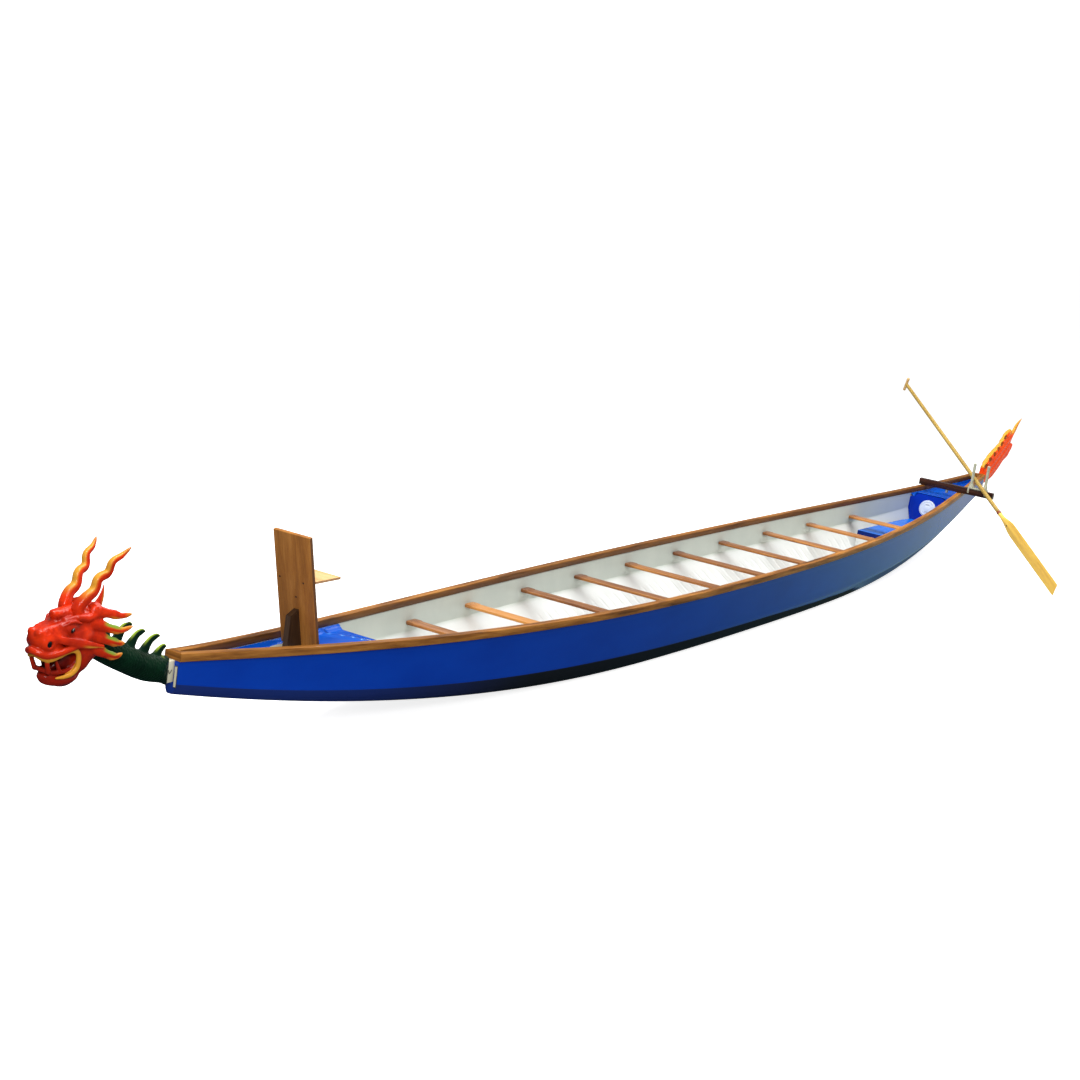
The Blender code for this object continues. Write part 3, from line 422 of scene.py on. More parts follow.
def orient(obj, inside=None, away=True):
    """Turns a closed mesh's faces outwards, or an open sheet's away from the point inside or towards it."""
    bm = bmesh.new()
    bm.from_mesh(obj.data)
    bmesh.ops.recalc_face_normals(bm, faces=bm.faces)
    if inside is not None:
        total = sum(f.normal.dot(f.calc_center_median() - inside) * f.calc_area() for f in bm.faces)
        if (total > 0.0) != away:
            bmesh.ops.reverse_faces(bm, faces=bm.faces)
    bm.to_mesh(obj.data)
    bm.free()
    return obj


def grid_faces(rows, columns, closed=False):
    """Faces between rows of points. A closed grid joins each row's last point to its first."""
    faces = []
    for i in range(rows - 1):
        for j in range(columns if closed else columns - 1):
            k = (j + 1) % columns
            a = i * columns
            b = (i + 1) * columns
            faces.append((a + j, a + k, b + k, b + j))
    return faces


def end_faces(rows, columns):
    """One face over the first row of points and one over the last."""
    last = (rows - 1) * columns
    return [tuple(range(columns)), tuple(range(last, last + columns))]


def make_shell(name, points, rows, look, thickness, inside, away=True, ends=False, **facts):
    """A sheet through rows of points, turned from the point inside or to it, and thickened behind."""
    columns = len(points) // rows
    faces = grid_faces(rows, columns) + (end_faces(rows, columns) if ends else [])
    obj = orient(make_piece(name, points, faces, look, **facts), Vector(inside), away)
    modifier = obj.modifiers.new("thickness", "SOLIDIFY")
    modifier.thickness = thickness
    modifier.offset = -1.0
    modifier.use_even_offset = True


def both_sides(half):
    """Rows of (y, ...) from the port edge to the centreline, carried on to the starboard edge."""
    return half + [(-row[0], *row[1:]) for row in reversed(half) if row[0] > 0.0]


def bar(name, rings, look, grain=None, tone=None, edge=None, attributes=None, **facts):
    """A closed solid through rings of points. grain gives each point its own wood coordinates."""
    points = [p for ring in rings for p in ring]
    faces = grid_faces(len(rings), len(rings[0]), closed=True) + end_faces(len(rings), len(rings[0]))
    attributes = dict(attributes or {})
    for key, values in (("grain", grain), ("tone", tone), ("edge", edge)):
        if values is not None:
            attributes[key] = values
    return orient(make_piece(name, points, faces, look, attributes=attributes, **facts))


def rounded_box_ring(across, up, radius, steps=3):
    """Points round a rectangle across by up, with rounded corners, about its own middle."""
    points = []
    for corner in range(4):
        sign_a = 1.0 if corner in (0, 3) else -1.0
        sign_u = 1.0 if corner in (0, 1) else -1.0
        for k in range(steps + 1):
            t = math.pi / 2.0 * (corner + k / steps)
            a = sign_a * (across / 2.0 - radius) + radius * math.cos(t)
            points.append((a, sign_u * (up / 2.0 - radius) + radius * math.sin(t)))
    return points


def circle(count, start=0.0):
    """Cosine and sine of evenly spaced turns. start is in steps."""
    turns = [2.0 * math.pi * (k + start) / count for k in range(count)]
    return [(math.cos(t), math.sin(t)) for t in turns]


def superellipse(c, s, power):
    """How far out a rounded square's edge lies in the direction of a cosine and a sine."""
    return (abs(c) ** power + abs(s) ** power) ** (-1.0 / power)


def plank(name, start, end, across, up, look, wide, tall, radius, **facts):
    """A straight bar of rectangular section with rounded edges and ends. across and up are unit vectors."""
    start, end, across, up = (Vector(v) for v in (start, end, across, up))
    way = (end - start).normalized()
    length = (end - start).length
    places = [0.0, radius * 0.3, radius] + spread(radius * 2.0, length - radius * 2.0, 12)
    places += [length - radius, length - radius * 0.3, length]
    shrink = {
        0: radius * 0.8, 1: radius * 0.3, len(places) - 2: radius * 0.3, len(places) - 1: radius * 0.8,
    }
    rings = []
    grain = []
    for i, place in enumerate(places):
        less = 2.0 * shrink.get(i, 0.0)
        ring = []
        for a, u in rounded_box_ring(wide - less, tall - less, min(radius, tall * 0.45)):
            ring.append(start + way * place + across * a + up * u)
            grain.append((place, a, u))
        rings.append(ring)
    return bar(name, rings, look, grain=grain, **facts)


def round_bar(name, path, radii, look, sides=20, squash=1.0, domed=0.0, **facts):
    """A round bar along points, optionally with domed ends."""
    path = [Vector(p) for p in path]
    rings = []
    grain = []
    run = 0.0
    side = (path[1] - path[0]).normalized().orthogonal().normalized()
    for i, point in enumerate(path):
        way = (path[min(i + 1, len(path) - 1)] - path[max(i - 1, 0)]).normalized()
        side = (side - way * side.dot(way)).normalized()
        up = way.cross(side)
        run += (point - path[i - 1]).length if i else 0.0
        ring = []
        for c, s in circle(sides):
            a = radii[i] * c
            b = radii[i] * s * squash
            ring.append(point + side * a + up * b)
            grain.append((run, a, b))
        rings.append(ring)
    if domed:
        first, last = (
            dome(rings[end], path[end], (path[end] - path[beside]).normalized(), domed)
            for end, beside in ((0, 1), (-1, -2))
        )
        rings = first[::-1] + rings + last
        grain = grain[:sides] * len(first) + grain + grain[-sides:] * len(last)
    return bar(name, rings, look, grain=grain, **facts)


def dome(ring, middle, out, height):
    """Rings that round off the end of a bar."""
    rings = []
    for step in (0.5, 0.85, 0.98):
        shrink = math.sqrt(1.0 - step * step)
        rings.append([middle + (p - middle) * shrink + out * height * step for p in ring])
    return rings


# Skins of the hull


def make_hull_skin():
    """The outer skin. Its attribute below marks the underside, painted near black as shade and roughened so
    it mirrors little; aft it fades to half that painted shade, and towards the bow it is fainter.
    """
    look = gelcoat(
        "hull_gelcoat", (0.0030, 0.050, 0.430), (0.0024, 0.040, 0.370), 0.10, scuffs=0.05,
        # The underside's painted shade, near black
        marks=[("below", (0.0050, 0.0080, 0.014))], dull="below",
    )
    stations = hull_stations(171)
    points = []
    below = []
    for x in stations:
        top = (skin_breadth(x), rail_top(x) - RAIL_HEIGHT - SKIN_TOP_GAP)
        chine = (chine_breadth(x), chine_height(x))
        foot = (bottom_breadth(x), keel_height(x))
        half = []
        for t in (0.0, 0.03, 0.2, 0.4, 0.6, 0.8, 0.97, 0.993):
            half.append((top[0] + (chine[0] - top[0]) * t, top[1] + (chine[1] - top[1]) * t, 0.0))
        # How far up the underside the painted shade reaches, at each place along the hull
        shaded = np.interp(x, (-2.7, -2.1, -0.4, 1.5, 3.0), (-0.1, 0.84, 0.94, 0.985, 1.01))
        for s in (
            0.995, 0.985, 0.97, 0.955, 0.94, 0.92, 0.9, 0.87, 0.84, 0.8, 0.7, 0.6, 0.5, 0.4, 0.28, 0.15,
            0.0,
        ):
            under = max(
                smooth(-0.01, 0.01, shaded - s), 0.5 * smooth(-1.6, -2.8, x) * smooth(0.99, 0.92, s),
            )
            half.append(
                (foot[0] + s * (chine[0] - foot[0]), foot[1] + s**2.8 * (chine[1] - foot[1]), under)
            )
        half += [(foot[0] * 0.5, foot[1], under), (0.0, foot[1], under)]
        shown = 1.0 - 0.40 * smooth(3.0, 5.0, x)
        for y, z, under in both_sides(half):
            points.append((x, y, z))
            below.append(under * shown)
    make_shell(
        "hull_skin", points, len(stations), look, SKIN_THICK, (0.0, 0.0, 0.3), ends=True,
        replaces=["hull_shell_" + n for n in LENGTHS], slot="hull_blue", attributes={"below": below},
        sharp=24.0,
    )


def bench_x(i):
    return BENCH_FIRST_X - BENCH_PITCH * i


def bench_top(x):
    return BENCH_TOP_MIDSHIP + BENCH_SHEER * x * x


RIB_PITCH = BENCH_PITCH / 7.0
RIB_HEIGHT = 0.0045
# Middles of the floor's ribs, seven to a bench and none right under one: 68 aft of bench 1 and 8 ahead
RIBS = [BENCH_FIRST_X + RIB_PITCH * (k + 0.5) for k in range(-68, 8)]


def make_liner():
    """The inner skin: a wall that swells beside each bench, a ribbed bilge and a ribbed floor."""
    stations = set(spread(-LINER_END, LINER_END, 361))
    for rib in RIBS:
        stations = {x for x in stations if abs(x - rib) > 0.016}
        stations |= {rib - 0.013, rib - 0.0065, rib, rib + 0.0065, rib + 0.013}
    stations = sorted(stations)
    points = []
    floor = []
    stern = []
    centres = [bench_x(i) for i in range(BENCH_COUNT)]
    for x in stations:
        near = min(centres, key=lambda c: abs(c - x))
        swell = 0.012 * math.exp(-(((x - near) / 0.055) ** 4))
        under = bench_top(near) - BENCH_THICK - 0.004
        top, knuckle, edge = liner_top(x), liner_knuckle(x), floor_edge(x)
        rib_up = RIB_HEIGHT * smooth(0.0125, 0.0060, min(abs(x - rib) for rib in RIBS))
        half = []
        for t in (0.0, 0.02, 0.14, 0.27, 0.40, 0.52, 0.64, 0.76, 0.88, 0.96, 1.0):
            y = top[0] + (knuckle[0] - top[0]) * t
            z = top[1] + (knuckle[1] - top[1]) * t
            fade = smooth(under + 0.012, under - 0.006, z) * smooth(knuckle[1] - 0.01, knuckle[1] + 0.05, z)
            half.append((y - swell * fade, z, 0.0))
        for t in (0.03, 0.08, 0.18, 0.30, 0.36, 0.42, 0.60, 0.80, 0.92, 1.0):
            y = knuckle[0] + (edge[0] - knuckle[0]) * t
            z = knuckle[1] + (edge[1] - knuckle[1]) * t
            raised = rib_up * smooth(0.34, 0.44, t)
            half.append((y - 0.5 * raised, z + 0.8 * raised, smooth(0.0, 0.10, t)))
        half += [(edge[0] * s, edge[1] + rib_up, 1.0) for s in (0.85, 0.5, 0.2, 0.0)]
        for y, z, low in both_sides(half):
            points.append((x, y, z))
            floor.append(low)
            stern.append(smooth(-3.6, -5.0, x) * 0.75)
    make_shell(
        "liner", points, len(stations), liner_look(), LINER_THICK, (0.0, 0.0, 0.5), away=False, sharp=32.0,
        replaces=["inner_liner_" + n for n in LENGTHS], slot="liner_white",
        attributes={"floor": floor, "stern": stern},
    )


def make_rails(look):
    """One whole rail along each side, cut square to the end rails that cross the bow and the stern."""
    reach = HULL_HALF_LENGTH - END_RAIL_DEPTH
    for side_name, side in SIDES:
        stations = [-reach] + [x for x in hull_stations(241) if abs(x) < reach - 0.004] + [reach]
        rings = []
        grain = []
        tone = []
        for i, x in enumerate(stations):
            ring = []
            for a, u in rounded_box_ring(RAIL_WIDTH, RAIL_HEIGHT, 0.006):
                inward = RAIL_WIDTH / 2.0 - a
                place = x
                breadth = rail_breadth(x) - inward
                if i in (0, len(stations) - 1):
                    end = math.copysign(1.0, x)
                    place = end * (HULL_HALF_LENGTH - END_RAIL_DEPTH * inward / RAIL_WIDTH)
                    start = rail_breadth(end * reach) - RAIL_WIDTH
                    tip = rail_breadth(end * HULL_HALF_LENGTH)
                    breadth = tip + (start - tip) * inward / RAIL_WIDTH
                ring.append((place, side * breadth, rail_top(place) - RAIL_HEIGHT / 2.0 + u))
                grain.append((place + 3.1 * side, inward, u))
                # Painted shade on the lower part of each rail's inner face, carried in tone
                shadow = 0.88 * smooth(0.90, 0.985, inward / RAIL_WIDTH) * smooth(0.5, 0.3, u / RAIL_HEIGHT)
                tone.append(max(rail_tone(place, inward, side), shadow))
            rings.append(ring)
        names = [f"rail_{side_name}_{n}" for n in ("fore", "mid", "aft")]
        bar("gunwale_" + side_name, rings, look, grain=grain, tone=tone, replaces=names, slot="rail_wood")
    for name, end in (("rail_bow", 1.0), ("rail_stern", -1.0)):
        tip = rail_breadth(end * HULL_HALF_LENGTH) - 0.0008
        root = rail_breadth(end * reach) - RAIL_WIDTH - 0.0004
        height = rail_top(end * HULL_HALF_LENGTH) - RAIL_HEIGHT / 2.0
        middle = HULL_HALF_LENGTH - END_RAIL_DEPTH / 2.0
        rings = []
        grain = []
        for s in spread(-1.0, 1.0, 9):
            ring = []
            for a, u in rounded_box_ring(END_RAIL_DEPTH, RAIL_HEIGHT, 0.005):
                half = root + (tip - root) * (0.5 + a / END_RAIL_DEPTH)
                ring.append((end * (middle + a), s * half, height + u))
                grain.append((s * half + 7.0 * end, a, u))
            rings.append(ring)
        bar(
            name + "_wood", rings, look, grain=grain, tone=[0.12] * len(grain), replaces=[name],
            slot="rail_wood",
        )


# Where each length of a rail begins at its aft end, and its tone, from the bow aft
PORT_LENGTHS = ((3.9, 0.25), (1.2, 0.05), (-1.6, -0.18), (-3.9, -0.05), (-9.0, 0.05))
STARBOARD_LENGTHS = ((4.6, 0.10), (2.38, 0.0), (-0.35, 0.42), (-2.47, 0.22), (-9.0, 0.50))


def rail_tone(x, inward, side):
    """Darker and lighter lengths of the rails, which meet at long slanting scarfs."""
    slant = 0.22 * (inward / RAIL_WIDTH - 0.5)
    return next(
        tone for aft, tone in (PORT_LENGTHS if side > 0.0 else STARBOARD_LENGTHS) if x + slant > aft
    )


BENCH_TONES = (0.05, -0.75, 0.30, 0.40, 0.22, 0.45, 0.25, 0.12, -0.15, -0.30)


def make_benches(look, screw):
    """The benches. Their ends are thicker pads, rounded off, with two screws each, and painted darker
    towards the walls as shade.
    """
    for i in range(BENCH_COUNT):
        centre = bench_x(i)
        top = bench_top(centre)
        edge = BENCH_WIDTH / 2.0
        half = min(wall_breadth(centre + side * edge, top - BENCH_THICK) for side in (-1.0, 1.0)) - 0.0015
        rings = []
        grain = []
        tone = []
        stops = [0.0, 0.004, 0.012, 0.03, 0.05, 0.065] + spread(0.10, half, 10)
        for y in [-(half - s) for s in stops] + [half - s for s in reversed(stops[:-1])]:
            from_end = half - abs(y)
            rounding = 0.010 * (1.0 - min(from_end / 0.012, 1.0)) ** 2
            raised = 0.004 * smooth(0.066, 0.052, from_end)
            wide = BENCH_WIDTH - 2.0 * rounding + 2.0 * raised * 0.6
            ring = []
            for a, u in rounded_box_ring(wide, BENCH_THICK + raised, 0.0075, 4):
                ring.append((centre + a, y, top - BENCH_THICK / 2.0 + raised / 2.0 + u))
                grain.append((y + i * 1.7, a, u))
                # Each bench's wood tone, with painted shade towards its ends at the walls
                tone.append(BENCH_TONES[i] + 0.55 * smooth(0.10, 0.03, from_end))
            rings.append(ring)
        name = f"bench_{i + 1:02d}"
        bar(name + "_wood", rings, look, grain=grain, tone=tone, replaces=[name], slot="bench_wood")
        for side in (-1.0, 1.0):
            for a in (-0.028, 0.028):
                place = (centre + a, side * (half - 0.030), top + 0.004)
                label = f"{name}_screw_{'p' if side > 0.0 else 's'}{'f' if a > 0.0 else 'a'}"
                screw_head(label, place, (0.0, 0.0, 1.0), 0.0045, screw)


def screw_head(name, centre, axis, radius, look, proud=0.0012):
    """A shallow domed screw head with a cross cut into its crown."""
    axis = Vector(axis).normalized()
    side = axis.orthogonal().normalized()
    up = axis.cross(side)
    centre = Vector(centre)
    points = []
    profile = (
        (1.0, -0.0012), (1.0, 0.15 * proud), (0.82, 0.8 * proud), (0.5, proud), (0.30, proud),
        (0.22, 0.3 * proud),
    )
    for share, height in profile:
        for k, (c, s) in enumerate(circle(16)):
            pinch = 0.55 if share < 0.45 and k % 4 else 1.0
            points.append(centre + (side * c + up * s) * radius * share * pinch + axis * height)
    orient(
        make_piece(
            name, points, grid_faces(len(profile), 16, closed=True) + end_faces(len(profile), 16), look,
        )
    )


# Decks and bulkheads


def make_foredeck(look):
    """The bow deck, with a curved groove near its aft edge, painted dark as its shade, and a row of shallow
    dimples ahead of it, painted light as highlights.
    """
    start = FOREDECK_AFT
    stations = spread(start, start + 0.40, 61) + spread(start + 0.42, DECK_END, 60)
    points = []
    lines = []
    dimple_highlights = []
    for x in stations:
        foot = rail_top(x) - RAIL_HEIGHT - DECK_GAP
        half = wall_breadth(x, foot) - 0.001
        for s in spread(1.0, -1.0, 121):
            y = half * s
            dip = 0.023 * smooth(1.0, 0.84, abs(s))
            inner = smooth(1.0, 0.90, abs(s))
            line_x = start + 0.038 + 3.2 * y * y
            # line paints the groove's shade, and dot below paints each dimple's highlight
            line = math.exp(-(((x - line_x) / 0.010) ** 2)) * inner
            rise = 0.006 * smooth(line_x, line_x + 0.05, x) * smooth(
                line_x + 0.16, line_x + 0.08, x,
            ) * inner
            across = round(y / DIMPLE_PITCH) * DIMPLE_PITCH
            dot_x = start + 0.104 + 3.0 * across * across
            dot = math.exp(-(((x - dot_x) ** 2 + (y - across) ** 2) / 0.011**2)) * inner
            points.append((x, y, foot - dip - 0.006 * inner + rise - 0.006 * line - 0.004 * dot))
            lines.append(line)
            dimple_highlights.append(dot)
    make_shell(
        "foredeck_skin", points, len(stations), look, DECK_THICK, (5.3, 0.0, 0.0), sharp=50.0,
        replaces=["foredeck"], slot="deck_blue", attributes={"line": lines, "dimple_highlights": dimple_highlights},
    )


def make_aft_deck(look):
    """The stern deck, with a raised middle that slopes down to the bulkhead."""
    stations = spread(
        STERN_DECK_FRONT, STERN_DECK_FRONT - 0.30, 31,
    ) + spread(STERN_DECK_FRONT - 0.33, -DECK_END, 34)
    points = []
    for x in stations:
        foot = rail_top(x) - RAIL_HEIGHT - DECK_GAP
        half = wall_breadth(x, foot) - 0.001
        back = STERN_DECK_FRONT - x
        for s in spread(1.0, -1.0, 49):
            dip = 0.024 * smooth(1.0, 0.86, abs(s))
            crown = AFT_CROWN * max(0.0, 1.0 - back / AFT_CROWN_RUN) * smooth(0.84, 0.70, abs(s))
            points.append((x, half * s, foot - dip + crown))
    make_shell(
        "aft_deck_skin", points, len(stations), look, DECK_THICK, (-5.6, 0.0, 0.0), sharp=50.0,
        replaces=["aft_deck"], slot="deck_blue",
    )


# Sculpted pieces: forms melted together in a field of distances, then skinned


CLAY_STEP = 0.0034
RELAX_SHARE = 0.35


class Clay:
    """A block of distances on a grid over port and centreline, mirrored to starboard."""

    def __init__(self, low, high, step):
        self.step = step
        self.low = np.array(low, float)
        counts = [int(math.ceil((high[i] - low[i]) / step)) + 1 for i in range(3)]
        self.axes = [low[i] + step * np.arange(counts[i]) for i in range(3)]
        self.field = np.full(counts, 1.0, dtype=np.float64)

    def block(self, low, high):
        """The part of the grid between two corners, and its coordinates."""
        cut = []
        for axis, a, b in zip(self.axes, low, high):
            start = max(int(np.searchsorted(axis, a)) - 1, 0)
            cut.append(slice(start, min(int(np.searchsorted(axis, b)) + 1, len(axis))))
        grid = np.meshgrid(*[axis[c] for axis, c in zip(self.axes, cut)], indexing="ij")
        return tuple(cut), grid

    def put(self, low, high, distance, melt, carve=False):
        """Melts a form that lies between two corners into the field, or carves it out."""
        reach = max(melt, self.step * 3.0) + 0.012
        cut, grid = self.block([v - reach for v in low], [v + reach for v in high])
        old = self.field[cut]
        new = distance(*grid)
        self.field[cut] = -soft_min(-old, new, melt) if carve else soft_min(old, new, melt)

    def ball(self, centre, radii, melt, carve=False):
        """An ellipsoid."""

        def distance(x, y, z):
            ax, ay, az = (x - centre[0]) / radii[0], (y - centre[1]) / radii[1], (z - centre[2]) / radii[2]
            near = np.sqrt(ax * ax + ay * ay + az * az) + 1e-9
            far = np.sqrt((ax / radii[0]) ** 2 + (ay / radii[1]) ** 2 + (az / radii[2]) ** 2) + 1e-9
            return near * (near - 1.0) / far

        reach = max(radii[0], radii[2])
        size = (reach, radii[1], reach)
        self.put(
            [c - r for c, r in zip(centre, size)], [c + r for c, r in zip(centre, size)], distance, melt,
            carve,
        )

    def balls(self, table):
        for centre, radii, melt in table:
            self.ball(centre, radii, melt)

    def limb(self, points, radii, melt, flat=1.0):
        """A tapered limb through points. flat below one presses it thinner across the boat."""
        points = np.array(points, float)
        radii = np.full(len(points), radii, float) if np.isscalar(radii) else np.array(radii, float)

        def distance(x, y, z):
            best = np.full(x.shape, np.inf)
            for a, b, ra, rb in zip(points, points[1:], radii, radii[1:]):
                d = (b - a) / np.array([1.0, flat, 1.0])
                px, py, pz = x - a[0], (y - a[1]) / flat, z - a[2]
                length = max(float(d @ d), 1e-12)
                t = np.clip((px * d[0] + py * d[1] + pz * d[2]) / length, 0.0, 1.0)
                gap = np.sqrt((px - t * d[0]) ** 2 + (py - t * d[1]) ** 2 + (pz - t * d[2]) ** 2)
                best = np.minimum(best, (gap - (ra + (rb - ra) * t)) * min(flat, 1.0) ** 0.5)
            return best

        size = radii.max()
        self.put(points.min(axis=0) - size, points.max(axis=0) + size, distance, melt)

    def skin(self):
        """Vertices and faces where the field crosses nought: one vertex a crossed cell, then relaxed."""
        field = np.concatenate([self.field[:, :0:-1, :], self.field], axis=1)
        low = self.low.copy()
        low[1] = -self.axes[1][-1]
        inside = field < 0.0
        shape = np.array(field.shape) - 1
        total = np.zeros((*shape, 3))
        count = np.zeros(shape)
        corners = [(i, j, k) for i in (0, 1) for j in (0, 1) for k in (0, 1)]

        def at(array, c):
            return array[c[0]:c[0] + shape[0], c[1]:c[1] + shape[1], c[2]:c[2] + shape[2]]

        for c in corners:
            for axis in range(3):
                if c[axis]:
                    continue
                d = list(c)
                d[axis] = 1
                crossing = at(inside, c) != at(inside, d)
                fa, fb = at(field, c), at(field, d)
                share = np.where(crossing, fa / np.where(crossing, fa - fb, 1.0), 0.0)
                for other in range(3):
                    place = share if other == axis else float(c[other])
                    total[..., other] += np.where(crossing, place, 0.0)
                count += crossing
        has = count > 0
        number = np.full(shape, -1)
        number[has] = np.arange(int(has.sum()))
        cells = np.argwhere(has)
        points = low + self.step * (cells + total[has] / count[has][:, None])
        faces = []
        for axis in range(3):
            u, v = (axis + 1) % 3, (axis + 2) % 3
            here = [slice(0, n) for n in field.shape]
            there = [slice(0, n) for n in field.shape]
            here[axis] = slice(0, -1)
            there[axis] = slice(1, None)
            a, b = inside[tuple(here)], inside[tuple(there)]
            edges = np.argwhere(a != b)
            at_u, at_v = edges[:, u], edges[:, v]
            edges = edges[(at_u > 0) & (at_v > 0) & (at_u < shape[u]) & (at_v < shape[v])]
            starts = a[tuple(edges.T)]
            quad = []
            for du, dv in ((1, 1), (0, 1), (0, 0), (1, 0)):
                cell = edges.copy()
                cell[:, u] -= du
                cell[:, v] -= dv
                quad.append(number[tuple(cell.T)])
            quad = np.stack(quad, axis=1)
            faces.append(np.where(starts[:, None], quad, quad[:, ::-1]))
        faces = np.concatenate(faces)
        return relax(points, faces), faces


def soft_min(a, b, melt):
    """The smaller of two fields, with a rounded seam melt wide."""
    blend = np.maximum(melt - np.abs(a - b), 0.0) / max(melt, 1e-9)
    return np.minimum(a, b) - blend * blend * melt * 0.25


def line_distance(points, line):
    """Distance of each point, on either side, from a line of points, and how far along it that is."""
    line = np.array(line, float)
    points = points.copy()
    points[:, 1] = np.abs(points[:, 1])
    best = np.full(len(points), 1e9)
    where = np.zeros(len(points))
    for i, (a, b) in enumerate(zip(line, line[1:])):
        d = b - a
        t = np.clip(((points - a) @ d) / max(d @ d, 1e-12), 0.0, 1.0)
        gap = np.linalg.norm(points - a - t[:, None] * d, axis=1)
        closer = gap < best
        best = np.where(closer, gap, best)
        where = np.where(closer, (i + t) / (len(line) - 1), where)
    return best, where


def relax(points, faces):
    """Evens out a skin's steps by moving each vertex some of the way towards its neighbours' middle."""
    pairs = np.concatenate([faces[:, [0, 1]], faces[:, [1, 2]], faces[:, [2, 3]], faces[:, [3, 0]]])
    pairs = np.concatenate([pairs, pairs[:, ::-1]])
    count = len(points)
    neighbours = np.bincount(pairs[:, 0], minlength=count).clip(1)
    totals = [np.bincount(pairs[:, 0], weights=points[pairs[:, 1], i], minlength=count) for i in range(3)]
    middle = np.stack(totals, axis=1) / neighbours[:, None]
    return points + (middle - points) * RELAX_SHARE


def curve_through(points, count):
    """Evenly numbered points on a smooth curve through the given ones."""
    points = np.array(points, float)
    padded = np.concatenate([[2 * points[0] - points[1]], points, [2 * points[-1] - points[-2]]])
    made = []
    for t in np.linspace(0.0, len(points) - 1.0, count):
        i = min(int(t), len(points) - 2)
        f = t - i
        a, b, c, d = padded[i:i + 4]
        made.append(
            0.5 * (
                2 * b + (c - a) * f + (2 * a - 5 * b + 4 * c - d) * f * f + (3 * b - a - 3 * c + d) * f**3
            )
        )
    return made


def mound(x, z, centre, spread_x, spread_z):
    """A soft patch about a centre in the side view, from one at its middle to nought."""
    return np.exp(-(((x - centre[0]) / spread_x) ** 2 + ((z - centre[1]) / spread_z) ** 2))


# The dragon's head, on the port side and mirrored. Balls are (centre, radii, melt). Lines given in pairs,
# (x, z), lie on the centreline

SKULL = (
    ((7.00, 0.0, 0.93), (0.125, 0.090, 0.095), 0.02), ((6.95, 0.0, 0.90), (0.10, 0.085, 0.11), 0.02),
    ((7.13, 0.0, 0.925), (0.11, 0.074, 0.058), 0.03), ((7.195, 0.0, 0.916), (0.092, 0.071, 0.062), 0.03),
    ((7.240, 0.0, 0.922), (0.048, 0.060, 0.046), 0.018),
    ((7.266, 0.024, 0.950), (0.022, 0.024, 0.022), 0.010),
    ((7.225, 0.052, 0.898), (0.042, 0.022, 0.034), 0.014),
    ((7.17, 0.0, 0.862), (0.105, 0.070, 0.030), 0.02),
    ((7.03, 0.062, 0.905), (0.080, 0.042, 0.055), 0.02), ((6.92, 0.0, 0.84), (0.085, 0.075, 0.09), 0.03),
    ((6.985, 0.0, 0.785), (0.078, 0.078, 0.085), 0.03), ((7.085, 0.0, 0.693), (0.115, 0.068, 0.038), 0.03),
    ((7.065, 0.0, 0.676), (0.055, 0.042, 0.031), 0.02), ((7.165, 0.0, 0.715), (0.055, 0.046, 0.030), 0.02),
    ((7.125, 0.0, 1.024), (0.050, 0.036, 0.027), 0.014),
    ((7.157, 0.0, 1.036), (0.020, 0.022, 0.013), 0.010),
    ((7.070, 0.0, 1.018), (0.062, 0.046, 0.032), 0.016),
    ((7.000, 0.030, 1.008), (0.060, 0.048, 0.032), 0.018),
    ((7.092, 0.050, 0.966), (0.056, 0.036, 0.040), 0.012),
)
BROW = [(7.120, 0.045, 1.000), (7.060, 0.070, 1.010), (7.00, 0.080, 1.002), (6.95, 0.080, 1.010)]
EYE = ((7.100, 0.067, 0.961), (0.034, 0.022, 0.026), 0.006)
LID = [(7.138, 0.064, 0.980), (7.116, 0.076, 0.995), (7.088, 0.085, 0.998), (7.053, 0.090, 0.985)]
LOWER_LID = [(7.125, 0.060, 0.945), (7.09, 0.078, 0.936), (7.05, 0.085, 0.936), (7.02, 0.088, 0.945)]
NOSE_BRIDGE = [(7.225, 0.030, 0.962), (7.18, 0.036, 0.966), (7.145, 0.038, 0.972)]
UPPER_LIP = [
    (7.285, 0.0, 0.866), (7.268, 0.036, 0.853), (7.235, 0.056, 0.840), (7.19, 0.070, 0.845),
    (7.12, 0.083, 0.862),
    (7.05, 0.088, 0.876),
]
TUFTS = (
    ((6.93, 0.055, 1.045), (0.032, 0.026, 0.026), 0.012),
    ((6.905, 0.030, 1.030), (0.040, 0.030, 0.030), 0.012),
)
MOUTH = (
    ((7.160, 0.0, 0.785), (0.105, 0.20, 0.038), 0.008), ((7.085, 0.0, 0.788), (0.050, 0.20, 0.046), 0.008),
    ((7.225, 0.0, 0.800), (0.060, 0.20, 0.026), 0.006),
)
THROAT = (
    ((7.045, 0.0, 0.785), (0.072, 0.054, 0.066), 0.010),
    ((7.090, 0.0, 0.770), (0.060, 0.034, 0.040), 0.010),
)
LOWER_LIP = [
    (7.03, 0.056, 0.770), (7.06, 0.054, 0.748), (7.11, 0.050, 0.738), (7.17, 0.044, 0.742),
    (7.205, 0.030, 0.752),
    (7.217, 0.0, 0.756),
]
GOLD_LIP = [
    (7.27, 0.0, 0.838), (7.25, 0.048, 0.820), (7.21, 0.067, 0.815), (7.154, 0.078, 0.833),
    (7.095, 0.085, 0.850),
    (7.052, 0.083, 0.835), (7.040, 0.081, 0.790), (7.046, 0.077, 0.750), (7.08, 0.072, 0.725),
    (7.125, 0.066, 0.716),
    (7.165, 0.060, 0.716),
]
TONGUE = [(7.03, 0.768), (7.08, 0.775), (7.13, 0.766), (7.168, 0.750)]
UPPER_FANG = [(7.226, 0.050, 0.842), (7.226, 0.052, 0.800), (7.206, 0.046, 0.750)]
LOWER_FANG = [(7.166, 0.050, 0.806), (7.152, 0.050, 0.775), (7.134, 0.050, 0.742)]
